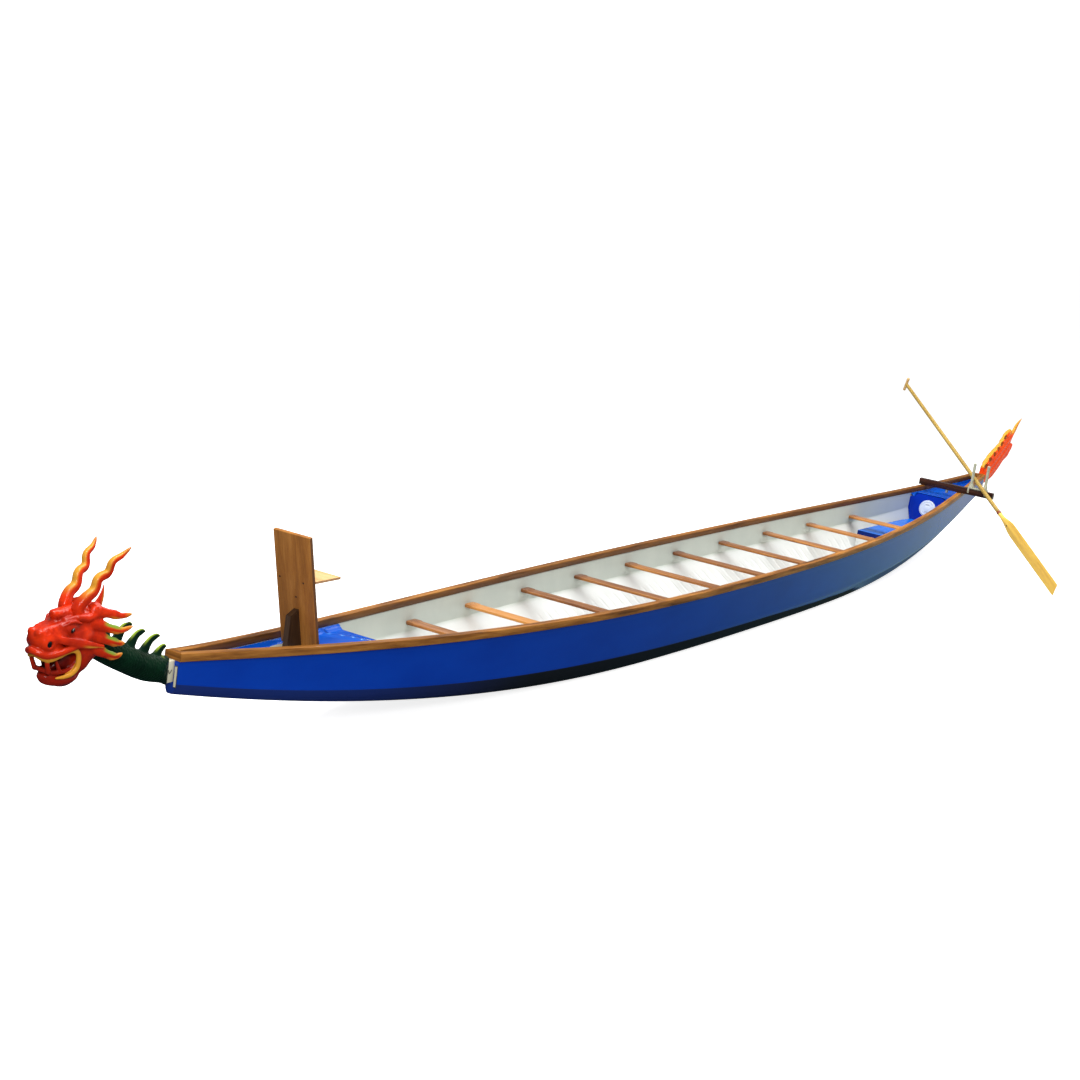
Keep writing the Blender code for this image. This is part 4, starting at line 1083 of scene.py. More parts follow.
SPIKES = (
    [(6.950, 0.075, 1.028), (6.866, 0.10, 1.012), (6.799, 0.112, 0.994), (6.727, 0.12, 0.996)],
    [(6.950, 0.085, 0.970), (6.867, 0.112, 0.938), (6.798, 0.125, 0.922), (6.725, 0.13, 0.934)],
    [(6.930, 0.085, 0.902), (6.858, 0.112, 0.872), (6.810, 0.12, 0.856), (6.762, 0.12, 0.848)],
    [(6.925, 0.078, 0.835), (6.853, 0.10, 0.797), (6.806, 0.11, 0.784), (6.761, 0.11, 0.793)],
)
SPIKE_RADII = (0.027, 0.026, 0.026, 0.025)
WHISKER = [
    (7.193, 0.068, 0.921), (7.134, 0.088, 0.906), (7.044, 0.108, 0.884), (6.975, 0.115, 0.868),
    (6.919, 0.12, 0.856),
]
CREST = [(6.880, 1.00), (6.845, 1.045), (6.828, 1.087), (6.822, 1.131)]
CREST_RADII = (0.034, 0.030, 0.026, 0.021, 0.017, 0.012, 0.008, 0.004)
CROWN = [(7.15, 0.985), (7.08, 1.02), (7.0, 1.03), (6.93, 1.02)]
NOSTRIL = ((7.232, 0.070, 0.899), (0.0165, 0.013, 0.0175), 0.004)
SCALE_SIZE = 0.0135
SCALE_HEIGHT = 0.0028


def centreline(pairs):
    """Places on the centreline from pairs of x and z."""
    return [(x, 0.0, z) for x, z in pairs]


def gold_width(where):
    """Half-width of the gold band round the mouth: narrow under the upper lip, broad round the jaw."""
    return np.interp(
        where, (0.0, 0.36, 0.46, 0.58, 0.80, 1.0), (0.0080, 0.0085, 0.0125, 0.0150, 0.0140, 0.0050),
    )


def scallop(x, y, z):
    """Rounded scales in staggered rows, as a height."""
    a = x / SCALE_SIZE
    b = (z + 0.35 * y) / SCALE_SIZE
    return SCALE_HEIGHT * np.maximum(0.0, np.sin(a * math.pi) * np.sin(b * math.pi)) ** 0.7


def make_head(look):
    """The head as one form, built up in order: skull, eyes, lips, open mouth, fangs, spikes and crest."""
    gold_path = curve_through(GOLD_LIP, 30)
    spike_paths = [curve_through(spike, 12) for spike in SPIKES]
    whisker = curve_through(WHISKER, 10)
    crest = curve_through(centreline(CREST), 8)
    clay = Clay((6.700, 0.0, 0.630), (7.315, 0.155, 1.160), CLAY_STEP)
    clay.balls(SKULL)
    clay.limb(BROW, [0.012, 0.018, 0.020, 0.020], 0.014)
    clay.ball(*EYE)
    clay.limb(LID, [0.006, 0.009, 0.009, 0.006], 0.005)
    clay.limb(LOWER_LID, 0.007, 0.010)
    clay.limb(NOSE_BRIDGE, [0.014, 0.018, 0.020], 0.02)
    clay.limb(curve_through(UPPER_LIP, 16), 0.018, 0.010)
    clay.balls(TUFTS)
    for hollow in MOUTH:
        clay.ball(*hollow, carve=True)
    clay.balls(THROAT)
    clay.limb(curve_through(LOWER_LIP, 14), 0.0125, 0.008)
    clay.limb(gold_path, gold_width(np.linspace(0.0, 1.0, 30)), 0.005, flat=0.8)
    clay.limb(centreline(TONGUE), [0.024, 0.026, 0.022, 0.010], 0.010, flat=1.4)
    clay.limb(UPPER_FANG, [0.015, 0.0115, 0.013], 0.006)
    clay.limb(LOWER_FANG, [0.006, 0.010, 0.012], 0.006)
    waves = [(1.0 - (i / 11.0)) ** 0.58 * (1.0 + 0.12 * math.sin(i * 1.5)) for i in range(12)]
    for path, fat in zip(spike_paths, SPIKE_RADII):
        clay.limb(path, [fat * wave + 0.0035 for wave in waves], 0.012, flat=0.62)
    radii = [0.010 + 0.012 * math.sin(math.pi * min(i / 9.0 + 0.12, 1.0)) for i in range(10)]
    clay.limb(whisker, radii, 0.006, flat=0.5)
    clay.limb(crest, CREST_RADII, 0.012, flat=0.5)
    clay.limb(centreline(CROWN), [0.020, 0.026, 0.028, 0.026], 0.02)
    clay.ball(*NOSTRIL, carve=True)
    x, y, z = np.meshgrid(*clay.axes, indexing="ij")
    scaly = mound(x, z, (7.205, 0.965), 0.045, 0.035) * (z > 0.90)
    scaly = scaly + mound(x, z, (7.10, 1.045), 0.060, 0.022) + mound(x, z, (6.955, 1.048), 0.050, 0.030)
    clay.field -= scallop(x, y, z) * np.clip(scaly, 0.0, 1.0)
    points, faces = clay.skin()

    x, y, z = points[:, 0], np.abs(points[:, 1]), points[:, 2]
    gap, on_lip = line_distance(points, gold_path)
    gold = smooth(1.30, 1.08, gap / gold_width(on_lip))
    gold = gold * smooth(0.030, 0.036, y + 0.06 * (on_lip < 0.3) + 0.06 * (on_lip > 0.75))
    green = np.zeros(len(points))
    for path in spike_paths:
        gap, where = line_distance(points, path)
        centre_z = np.interp(where * 11.0, np.arange(12), np.array(path)[:, 2])
        near = smooth(0.040, 0.032, gap)
        upper = smooth(0.002, 0.013, z - centre_z) * near
        lower = smooth(0.004, 0.012, centre_z - z) * near
        tip = smooth(0.70, 0.98, where) * smooth(0.030, 0.020, gap)
        gold = np.maximum(gold, np.maximum(0.85 * tip, 0.55 * lower * smooth(0.25, 0.5, where)))
        if path is not spike_paths[0]:
            paint = upper * smooth(0.10, 0.25, where) * smooth(6.935, 6.910, x)
            green = np.maximum(green, paint * smooth(0.75, 0.45, where))
            gold = np.maximum(gold, paint * 0.9 * smooth(0.25, 0.55, where))
    gap, where = line_distance(points, whisker)
    centre_z = np.interp(where * 9.0, np.arange(10), np.array(whisker)[:, 2])
    under = smooth(0.0, 0.010, centre_z - z) * smooth(0.45, 0.65, where)
    gold = np.maximum(gold, 0.85 * under * smooth(0.022, 0.016, gap))
    crest_edge = smooth(6.845, 6.830, x + 0.25 * (z - 1.05))
    gold = np.maximum(gold, 0.7 * crest_edge * (line_distance(points, crest)[0] < 0.03) * (z > 1.03))
    # The open mouth's hollow, painted dark as its shade
    hollow = np.sqrt(((x - 7.10) / 0.115) ** 2 + ((z - 0.787) / 0.058) ** 2)
    # Painted shade: darker low on the head and round the eye
    shade = 0.75 * smooth(0.86, 0.70, z) + 0.30 * smooth(0.95, 0.80, z)
    shade = shade + 0.5 * smooth(0.09, 0.06, np.hypot(x - 7.10, z - 0.97))
    scales = mound(x, z, (7.20, 0.965), 0.06, 0.04)
    scales = scales + mound(x, z, (7.10, 1.045), 0.08, 0.025) + mound(x, z, (6.955, 1.048), 0.05, 0.030)
    attributes = {
        "gold": gold,
        "green": green,
        "mouth": smooth(1.12, 0.95, hollow) * smooth(0.060, 0.046, y) * (1.0 - gold),
        # Gold under the upper lip, painted darker brown as shade
        "dull": (1.0 - smooth(0.36, 0.44, on_lip)) * gold,
        "scales": np.clip(scales, 0.0, 1.0),
        "shade": np.clip(shade, 0.0, 1.0) * (1.0 - gold),
    }
    make_piece(
        "dragon_head_skin", points, faces, look, replaces=["dragon_head"], slot="dragon_red",
        attributes=attributes, sharp=80.0,
    )


# Half-thickness of a horn at shares of its length, and its line on the port side
HORN_AT = (0.0, 0.10, 0.20, 0.45, 0.70, 0.88, 0.96, 1.0)
HORN_HALF = (0.0325, 0.0300, 0.0262, 0.0225, 0.0190, 0.0135, 0.0090, 0.0030)
HORN_PATH = [
    (7.036, 0.042, 1.008), (7.038, 0.045, 1.054), (7.004, 0.058, 1.100), (6.964, 0.061, 1.126),
    (6.949, 0.063, 1.150),
    (6.943, 0.066, 1.184), (6.926, 0.070, 1.202), (6.894, 0.075, 1.213), (6.880, 0.079, 1.232),
    (6.876, 0.086, 1.266),
    (6.862, 0.091, 1.285), (6.828, 0.098, 1.302), (6.808, 0.105, 1.318), (6.780, 0.118, 1.347),
]


def make_horn(name, side, look):
    """A waved horn of rounded square section, gold in front and red behind."""
    count = 90
    path = [Vector((p[0], p[1] * side, p[2])) for p in curve_through(HORN_PATH, count)]
    athwart = Vector((0.0, 1.0, 0.0))
    rings = []
    gold = []
    tip = []
    for i, point in enumerate(path):
        t = i / (count - 1)
        way = (path[min(i + 1, count - 1)] - path[max(i - 1, 0)]).normalized()
        across = (athwart - way * athwart.dot(way)).normalized()
        front = across.cross(way).normalized()
        if front.x < 0.0:
            front = -front
        half = float(np.interp(t, HORN_AT, HORN_HALF))
        ring = []
        for c, s in circle(20):
            out = superellipse(c, s, 3.2)
            offset = across * (c * out * half * 0.92) + front * (s * out * half)
            ring.append(point + offset)
            patch = smooth(0.52, 0.78, offset.normalized().dot(front)) * smooth(0.10, 0.22, t)
            gold.append(max(patch, smooth(0.90, 0.99, t) * 0.6))
            tip.append(0.6 * smooth(0.86, 1.0, t))
        rings.append(ring)
    bar(
        name + "_skin", rings, look, replaces=[name], slot="horn_yellow",
        attributes={"gold": gold, "tip": tip},
    )


# The neck's middle line, its radii and the line of each fin, as pairs, (x, z), on the centreline
NECK_SPINE = [(6.22, 0.565), (6.30, 0.602), (6.46, 0.643), (6.64, 0.722), (6.78, 0.790), (6.88, 0.850)]
NECK_RADII = (0.074, 0.074, 0.073, 0.072, 0.070, 0.068)
NECK_FINS = (
    [(6.700, 0.815), (6.668, 0.862), (6.640, 0.886), (6.606, 0.893), (6.585, 0.889)],
    [(6.596, 0.765), (6.566, 0.806), (6.538, 0.832), (6.503, 0.841), (6.480, 0.837)],
    [(6.488, 0.718), (6.458, 0.760), (6.428, 0.787), (6.390, 0.799), (6.362, 0.796)],
    [(6.392, 0.672), (6.366, 0.706), (6.346, 0.724), (6.325, 0.733), (6.306, 0.730)],
    [(6.786, 0.860), (6.760, 0.888), (6.735, 0.898)],
)
# The end faces of the neck and the tail, half a millimetre clear of the sockets
NECK_END = 6.3005
TAIL_END = -6.3005


def fin_half(where):
    return np.interp(where, (0.0, 0.3, 0.7, 1.0), (0.040, 0.027, 0.018, 0.004))


def make_neck(look):
    """The scaled neck with its hooked fins, sculpted as one form."""
    clay = Clay((6.290, 0.0, 0.520), (6.905, 0.085, 0.905), CLAY_STEP)
    spine = curve_through(centreline(NECK_SPINE), 22)
    clay.limb(spine, np.interp(np.linspace(0, 5, 22), range(6), NECK_RADII), 0.01, flat=0.80)
    x, y, _ = np.meshgrid(*clay.axes, indexing="ij")
    taper = y - (0.0195 + 0.040 * np.sqrt(np.clip((x - 6.300) / 0.085, 0.0, 1.0)))
    clay.field = -soft_min(-clay.field, -np.where(x < 6.39, taper, -1.0), 0.006)
    fin_paths = [curve_through(centreline(fin), 12) for fin in NECK_FINS]
    for path in fin_paths:
        clay.limb(path, fin_half(np.linspace(0, 1, 12)), 0.010, flat=0.42)
    points, faces = clay.skin()
    points[:, 0] = np.maximum(points[:, 0], NECK_END)
    edge = np.zeros(len(points))
    for path in fin_paths:
        gap, where = line_distance(points, path)
        share = gap / np.maximum(fin_half(where), 0.006)
        rim = smooth(0.66, 0.90, share) * smooth(1.6, 1.3, share) * smooth(0.12, 0.40, where)
        edge = np.maximum(edge, np.maximum(rim, smooth(0.85, 1.0, where) * (gap < 0.012)))
    spine_z = np.interp(points[:, 0], [p[0] for p in spine], [p[2] for p in spine])
    body = smooth(0.085, 0.070, np.abs(points[:, 2] - spine_z))
    make_piece(
        "dragon_neck_skin", points, faces, look, replaces=["dragon_neck"], slot="dragon_green",
        attributes={"edge": edge, "scales": body * (1.0 - edge)}, sharp=80.0,
    )


# The tail seen from the side, as (x, z): each stretch is a smooth curve, and they meet at corners
TAIL_UPPER = [
    (-6.300, 0.742), (-6.378, 0.806), (-6.472, 0.862), (-6.605, 0.914), (-6.712, 0.956), (-6.780, 1.004),
    (-6.826, 1.044), (-6.897, 1.080), (-6.986, 1.100),
]
TAIL_NOTCH = [(-6.986, 1.100), (-7.030, 1.078), (-7.045, 1.050)]
TAIL_TOP = [(-7.045, 1.050), (-7.110, 1.092), (-7.165, 1.140), (-7.241, 1.173), (-7.336, 1.199)]
TAIL_BACK = [(-7.336, 1.199), (-7.233, 1.125), (-7.169, 1.063), (-7.099, 1.005), (-7.041, 0.941)]
TAIL_SPUR = [(-7.041, 0.941), (-7.090, 0.940), (-7.147, 0.928)]
TAIL_LOWER = [
    (-7.147, 0.928), (-7.128, 0.880), (-7.072, 0.836), (-7.015, 0.792), (-6.890, 0.748), (-6.795, 0.690),
    (-6.673, 0.626), (-6.571, 0.586), (-6.440, 0.558), (-6.300, 0.545),
]
TAIL_HOLLOWS = (
    (-6.350, 0.735), (-6.445, 0.798), (-6.550, 0.850), (-6.660, 0.896), (-6.752, 0.950), (-6.832, 1.020),
)
TAIL_HALF_THICK = 0.034


def flat_gap(x, z, line):
    """Distance of places in the side view from a line of points."""
    best = np.full(np.shape(x), 1e9)
    for (ax, az), (bx, bz) in zip(line, line[1:]):
        dx, dz = bx - ax, bz - az
        t = np.clip(((x - ax) * dx + (z - az) * dz) / (dx * dx + dz * dz), 0.0, 1.0)
        best = np.minimum(best, np.hypot(x - ax - t * dx, z - az - t * dz))
    return best


def flat_inside(x, z, outline):
    """Whether places in the side view lie in an outline."""
    inside = np.zeros(np.shape(x), dtype=bool)
    for (ax, az), (bx, bz) in zip(outline, outline[1:] + outline[:1]):
        crosses = (az > z) != (bz > z)
        inside ^= crosses & (x < ax + (z - az) * (bx - ax) / (bz - az if bz != az else 1e-9))
    return inside


def tail_hollow(x, z):
    """How deep in a scallop under the upper edge a place in the side view lies, from 0 to 1."""
    deepest = np.zeros(np.shape(x))
    for cx, cz in TAIL_HOLLOWS:
        along_edge = (x - cx) * -0.82 + (z - cz) * 0.57
        across = (x - cx) * 0.57 + (z - cz) * 0.82
        deepest = np.maximum(deepest, smooth(1.15, 0.45, np.hypot(along_edge / 0.040, across / 0.033)))
    return deepest


def make_tail(look):
    """A flat flame of a tail, with a scalloped upper edge, a spike above and a spur below."""
    clay = Clay((-7.350, 0.0, 0.530), (-6.285, 0.050, 1.215), 0.0036)
    x, z = np.meshgrid(clay.axes[0], clay.axes[2], indexing="ij")
    stretches = (TAIL_UPPER, TAIL_NOTCH, TAIL_TOP, TAIL_BACK, TAIL_SPUR, TAIL_LOWER)
    lines = [[tuple(map(float, p)) for p in curve_through(line, 6 * len(line))] for line in stretches]
    upper_line, _, top_line, back_line, spur_line, lower_line = lines
    outline = [p for line in lines for p in line[:-1]] + [lower_line[-1]]
    edge = np.where(flat_inside(x, z, outline), 1.0, -1.0) * flat_gap(x, z, outline + outline[:1])
    low = flat_gap(x, z, lower_line + back_line[::-1])
    thick = TAIL_HALF_THICK * np.interp(-x, (6.30, 6.60, 7.00, 7.20, 7.34), (1.0, 1.0, 0.80, 0.50, 0.25))
    full = np.clip(edge / 0.052, 0.0, 1.0)
    half = thick * np.sqrt(1.0 - (1.0 - full) ** 2)
    strands = 0.0030 * np.cos(2.0 * math.pi * low / 0.080) * smooth(0.010, 0.035, edge)
    half = np.where(
        edge > 0.0, half + strands - 0.013 * tail_hollow(x, z) * smooth(0.004, 0.016, edge), edge,
    )
    y = clay.axes[1][None, :, None]
    clay.field = (y - half[:, None, :]) * 0.7
    points, faces = clay.skin()
    points[:, 0] = np.minimum(points[:, 0], TAIL_END)
    px, pz = points[:, 0], points[:, 2]
    upper = flat_gap(px, pz, upper_line)
    back = flat_gap(px, pz, back_line + spur_line + lower_line[:12])
    spike = smooth(-6.90, -6.96, px) * smooth(1.030, 1.060, pz)
    tip = smooth(-7.06, -7.15, px) * smooth(0.99, 1.03, pz)
    gold = np.maximum(smooth(0.018, 0.010, upper), 0.75 * spike)
    gold = np.maximum(gold, 0.7 * smooth(0.014, 0.006, back) * smooth(0.90, 0.86, pz + 0.4 * (px + 7.147)))
    gold = np.maximum(gold, smooth(0.012, 0.006, flat_gap(px, pz, top_line)))
    # Painted shade in the scallop hollows and along the back edge, and a darker tip
    dark = np.maximum(tail_hollow(px, pz) * (1.0 - smooth(0.018, 0.010, upper)), 0.80 * tip * (1.0 - gold))
    dark = np.maximum(dark, 0.25 * smooth(0.016, 0.004, back))
    make_piece(
        "dragon_tail_skin", points, faces, look, replaces=["dragon_tail"], slot="dragon_red",
        attributes={"gold": gold, "dark": dark}, sharp=80.0,
    )


RED = (0.640, 0.030, 0.0035)
DEEP_RED = (0.400, 0.0135, 0.0022)


def make_dragon():
    head_look = enamel(
        "dragon_enamel", RED, DEEP_RED,
        (
            # The first mark is the head's painted shade
            ("shade", (0.260, 0.010, 0.0030)), ("gold", (0.660, 0.285, 0.024)),
            # dull is the gold's painted shade under the upper lip
            ("dull", (0.46, 0.20, 0.020)), ("green", (0.20, 0.30, 0.030)),
            # The inside of the mouth, painted dark as shade
            ("mouth", (0.115, 0.004, 0.0020)),
        ),
        scale_depth=1.0,
    )
    horn_look = enamel(
        "horn_enamel", RED, DEEP_RED, (("gold", (0.640, 0.290, 0.030)), ("tip", (0.45, 0.10, 0.02))), 0.16,
    )
    neck_look = enamel(
        "neck_enamel", (0.0030, 0.020, 0.0085), (0.0022, 0.012, 0.006), (("edge", (0.26, 0.36, 0.035)),),
        0.26, scale_size=62.0, scale_depth=1.8, ior=1.15, coat=0.05,
    )
    # The tail's red is more orange than the head's and painted brighter, as light on its shaded side
    tail_look = enamel(
        "tail_enamel", (1.00, 0.090, 0.010), (0.90, 0.056, 0.007),
        (("gold", (0.74, 0.36, 0.045)), ("dark", (0.26, 0.070, 0.012))), 0.20, ior=1.12, coat=0.0,
    )
    black = Look("pupil_paint_and_nostril_shade", (0.006, 0.004, 0.004), 0.12, coat=0.6).material
    make_head(head_look)
    for name, side in SIDES:
        make_horn("dragon_horn_" + name, side, horn_look)
    make_neck(neck_look)
    make_tail(tail_look)
    for name, side in SIDES:
        places = ((7.114, 0.0875, 0.947), (7.107, 0.0900, 0.957), (7.100, 0.0900, 0.968))
        pupil = [(x, y * side, z) for x, y, z in places]
        radii = [0.003, 0.007, 0.009, 0.0095, 0.009, 0.007, 0.003]
        round_bar("pupil_" + name, curve_through(pupil, len(radii)), radii, black, domed=0.002)
        # A black plug in each nostril hole, painted shade in the hollow
        hole = [(7.232, 0.055 * side, 0.899), (7.2325, 0.0665 * side, 0.899)]
        round_bar("nostril_" + name, hole, [0.0155, 0.0155], black, domed=0.0015)


# Seat, steering arm, lock, oar and small fittings

BOARD_WIDTH = 0.264
BOARD_THICK = 0.024
BOARD_LEAN = math.radians(15.5)
BOARD_HEAD = Vector((5.345, 0.0, 1.238))
SEAT_TOP = 0.978
SEAT_AFT = 5.011
SEAT_THICK = 0.015
BOARD_FOOT_GAP = 0.0070
SEAT_GAP = 0.0006
KNEE_FRONT_X = 5.290
KNEE_HALF_THICK = 0.0175


def prism(name, outline, low, high, look, axis=1, edges=0.002, grain_along=2, dark_edge=False, **facts):
    """A flat piece: an outline in two directions, pushed from low to high along the third."""
    others = [i for i in range(3) if i != axis]
    order = [grain_along] + [i for i in range(3) if i != grain_along]
    rings = []
    grain = []
    rim = []
    for level in (low, low + 0.0006, high - 0.0006, high):
        ring = []
        for pair in outline:
            point = [0.0, 0.0, 0.0]
            point[others[0]], point[others[1]] = pair
            point[axis] = level
            ring.append(tuple(point))
            grain.append(tuple(point[i] for i in order))
            rim.append(1.0 if dark_edge and level not in (low, high) else 0.0)
        rings.append(ring)
    modifier = bar(name, rings, look, grain=grain, edge=rim, **facts).modifiers.new("edges", "BEVEL")
    modifier.width = edges
    modifier.segments = 2
    modifier.limit_method = "ANGLE"
    modifier.angle_limit = math.radians(30.0)


def board_front(z):
    """Where the leaning board's front face is at height z."""
    return BOARD_HEAD.x + (z - BOARD_HEAD.z) * math.tan(BOARD_LEAN)


def board_rear(z):
    return board_front(z) - BOARD_THICK / math.cos(BOARD_LEAN) - SEAT_GAP


def make_board(look, screw):
    """The seat's leaning back board, with the ply's layers shown on its two long edges."""
    front = Vector((math.cos(BOARD_LEAN), 0.0, -math.sin(BOARD_LEAN)))
    upward = Vector((math.sin(BOARD_LEAN), 0.0, math.cos(BOARD_LEAN)))
    foot_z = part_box("drum_seat_back")[0][2] + BOARD_FOOT_GAP
    length = (BOARD_HEAD.z - foot_z) / math.cos(BOARD_LEAN)
    head = BOARD_HEAD - front * BOARD_THICK / 2.0
    foot = head - upward * length
    obj = plank(
        "seat_board", foot, head, (0.0, 1.0, 0.0), front, look, BOARD_WIDTH, BOARD_THICK, 0.0025,
        replaces=["drum_seat_back"], slot="seat_ply",
    )
    mesh = obj.data
    edge = np.zeros(len(mesh.vertices), dtype=np.float32)
    for i, vertex in enumerate(mesh.vertices):
        across = abs(vertex.co.y) > BOARD_WIDTH / 2.0 - 0.0014
        depth = abs((vertex.co - head).dot(front)) < BOARD_THICK / 2.0 - 0.0008
        edge[i] = 1.0 if across and depth else 0.0
    mesh.attributes.new("edge", "FLOAT", "POINT").data.foreach_set("value", edge)
    for i, (y, z) in enumerate(((-0.107, 0.957), (0.062, 0.955), (0.002, 0.858))):
        place = (board_front(z) + 0.0002, y, z)
        screw_head(f"board_screw_{i + 1}", place, front, 0.0058, screw, proud=0.0008)


def make_seat(board_look, panel_look, knee_look, plate_look, screw):
    """The drummer's seat: its back board, panel, bracket and knee, and the slotted plate on the deck."""
    make_board(board_look, screw)
    low = SEAT_TOP - SEAT_THICK
    half = BOARD_WIDTH / 2.0
    outline = [(board_rear(low), -half), (board_rear(low), half), (SEAT_AFT, half), (SEAT_AFT, -half)]
    prism(
        "seat_panel", outline, low, SEAT_TOP, panel_look, axis=2, grain_along=1, dark_edge=True,
        replaces=["drum_seat_panel"], slot="seat_panel_ply",
    )
    under = low - 0.0003
    foot = under - 0.13
    bracket = [
        (board_rear(under), under), (SEAT_AFT + 0.05, under), (SEAT_AFT + 0.05, under - 0.02),
        (SEAT_AFT + 0.085, under - 0.052), (SEAT_AFT + 0.125, under - 0.098), (board_rear(foot), foot),
    ]
    plate_low, plate_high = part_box("deck_slot_plate")
    foot = plate_high[2] + 0.0008
    knee = [
        (board_front(foot) + SEAT_GAP, foot), (board_front(0.785) + SEAT_GAP, 0.785), (KNEE_FRONT_X, 0.753),
        (KNEE_FRONT_X, foot),
    ]
    for name, outline, edges in (("seat_bracket", bracket, 0.002), ("seat_knee", knee, 0.003)):
        prism(
            name, outline, -KNEE_HALF_THICK, KNEE_HALF_THICK, knee_look, edges=edges,
            replaces=["drum_" + name], slot="dark_wood",
        )
    aft, ahead, half = plate_low[0], plate_high[0], 0.090
    outline = [(aft, -half), (ahead, -half), (ahead, half), (aft, half)]
    cut_corners = []
    for (x, y), (nx, ny) in zip(outline, outline[1:] + outline[:1]):
        step = Vector((nx - x, ny - y)).normalized() * 0.012
        cut_corners += [(x + step.x, y + step.y), (nx - step.x, ny - step.y)]
    prism(
        "slot_plate_skin", cut_corners, plate_high[2] - 0.0065, plate_high[2], plate_look, axis=2,
        edges=0.0015,
        replaces=["deck_slot_plate"], slot="pale_metal",
    )
    for i, (x, y) in enumerate(((5.078, 0.074), (5.078, -0.074), (5.302, 0.074), (5.302, -0.074))):
        screw_head(
            f"slot_screw_{i + 1}", (x, y, plate_high[2]), (0.0, 0.0, 1.0), 0.006, plate_look, proud=0.002,
        )


# Height up a pin of the lock, and its radius there
PIN_PROFILE = (
    (0.014, 0.0240), (0.018, 0.0245), (0.022, 0.0240), (0.040, 0.0195), (0.056, 0.0160), (0.075, 0.0145),
    (0.140, 0.0140), (0.215, 0.0138), (0.234, 0.0138), (0.238, 0.0148), (0.243, 0.0150), (0.250, 0.0138),
    (0.2545, 0.009),
)
ARM_WIDTH = 0.050
STRAP_FROM_PIVOT = 0.087


def make_arm(look, metal, screw):
    """The steering arm, and on it the lock: a plate with two pins, held by a strap at each end."""
    low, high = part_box("steering_arm")
    centre_z = (low[2] + high[2]) / 2.0
    plank(
        "steering_arm_wood", (ARM_X, low[1], centre_z), (ARM_X, high[1], centre_z), (1.0, 0.0, 0.0),
        (0.0, 0.0, 1.0),
        look, ARM_WIDTH, high[2] - low[2], 0.004, replaces=["steering_arm"], slot="dark_wood",
    )
    lock_low, lock_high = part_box("oar_lock")
    base = lock_low[2]
    thick = 0.015
    half = (lock_high[1] - lock_low[1]) / 2.0
    middle = OAR_PIVOT.y
    section = rounded_box_ring(ARM_WIDTH, thick, 0.002, 2)
    ends = (middle - half, middle + half)
    rings = [[(ARM_X + a, y, base + thick / 2.0 + u) for a, u in section] for y in ends]
    bar("lock_plate", rings, metal, replaces=["oar_lock"], slot="pale_metal")
    for i, side in enumerate((-1.0, 1.0)):
        y = middle + side * PIN_SPACING / 2.0
        path = [(ARM_X, y, base + height) for height, _ in PIN_PROFILE]
        radii = [radius for _, radius in PIN_PROFILE]
        round_bar(f"lock_pin_{i + 1}", path, radii, metal, sides=24, slot="pale_metal")
    for i, side in enumerate((-1.0, 1.0)):
        y = middle + side * STRAP_FROM_PIVOT
        section = rounded_box_ring(0.016, 0.0022, 0.0008, 1)
        rings = []
        for out, up in ((0.0258, 0.012), (0.0262, -0.020), (0.0262, -0.045)):
            rings.append([(ARM_X + out + u, y + a, base + up) for a, u in section])
        bar(f"lock_strap_{i + 1}", rings, metal, slot="pale_metal")
        place = (ARM_X + 0.0272, y, base - 0.034)
        screw_head(f"strap_screw_{i + 1}", place, (1.0, 0.0, 0.0), 0.0042, screw)
    fitting = [(ARM_X + 0.004, 0.062, low[2] - 0.030), (ARM_X + 0.004, 0.062, low[2] - 0.0006)]
    round_bar("arm_fitting", fitting, [0.012, 0.016], metal, slot="pale_metal", domed=0.004)


def oar_frame():
    """Unit vectors to the oar's grip, along its lift axis, and across both."""
    level = math.cos(OAR_ELEVATION)
    to_grip = Vector(
        (-math.cos(OAR_HEADING) * level, -math.sin(OAR_HEADING) * level, math.sin(OAR_ELEVATION))
    )
    lift_axis = Vector((math.sin(OAR_HEADING), -math.cos(OAR_HEADING), 0.0))
    return to_grip, lift_axis, lift_axis.cross(to_grip)


def oar_point(s, a=0.0, c=0.0):
    """A place s towards the grip from the pivot, a along the lift axis and c across both."""
    to_grip, lift_axis, across = oar_frame()
    return OAR_PIVOT + to_grip * s + lift_axis * a + across * c


def oar_bar(name, profile, look, slot="oar_wood", **facts):
    """A round bar on the oar's own line. profile lists places along it and the radius at each."""
    path = [oar_point(s) for s, _ in profile]
    round_bar(name, path, [r for _, r in profile], look, sides=28, body="steering_oar", slot=slot, **facts)


OAR_SHAFT = (
    (OAR_INBOARD, 0.0178), (1.80, 0.0182), (1.30, 0.0190), (0.95, 0.0195), (0.60, 0.0200), (0.1, 0.0200),
    (-0.3, 0.0200), (OAR_NECK + 0.0003, 0.0198),
)
OAR_COLLAR = (
    (OAR_NECK + 0.040, 0.0202), (OAR_NECK + 0.036, 0.0222), (OAR_NECK + 0.006, 0.0224),
    (OAR_NECK + 0.002, 0.0204),
)
# Distance down the blade from its neck, half-width and half-thickness
OAR_BLADE = (
    (0.0, 0.0200, 0.0200), (0.03, 0.0208, 0.0198), (0.07, 0.0250, 0.0186), (0.12, 0.0350, 0.0166),
    (0.16, 0.0460, 0.0150),
    (0.20, 0.0560, 0.0134), (0.24, 0.0630, 0.0120), (0.28, 0.0660, 0.0108), (0.40, 0.0660, 0.0094),
    (0.60, 0.0660, 0.0078),
    (0.90, 0.0655, 0.0062), (1.15, 0.0650, 0.0053), (1.224, 0.0640, 0.0042), (1.2317, 0.0615, 0.0022),
)
# Place along the grip, which crosses the shaft's end, and its radius
OAR_GRIP = (
    (-0.072, 0.0125), (-0.069, 0.0142), (-0.05, 0.0150), (-0.02, 0.0146), (0.0, 0.0150), (0.02, 0.0146),
    (0.05, 0.0150), (0.069, 0.0142), (0.072, 0.0125),
)


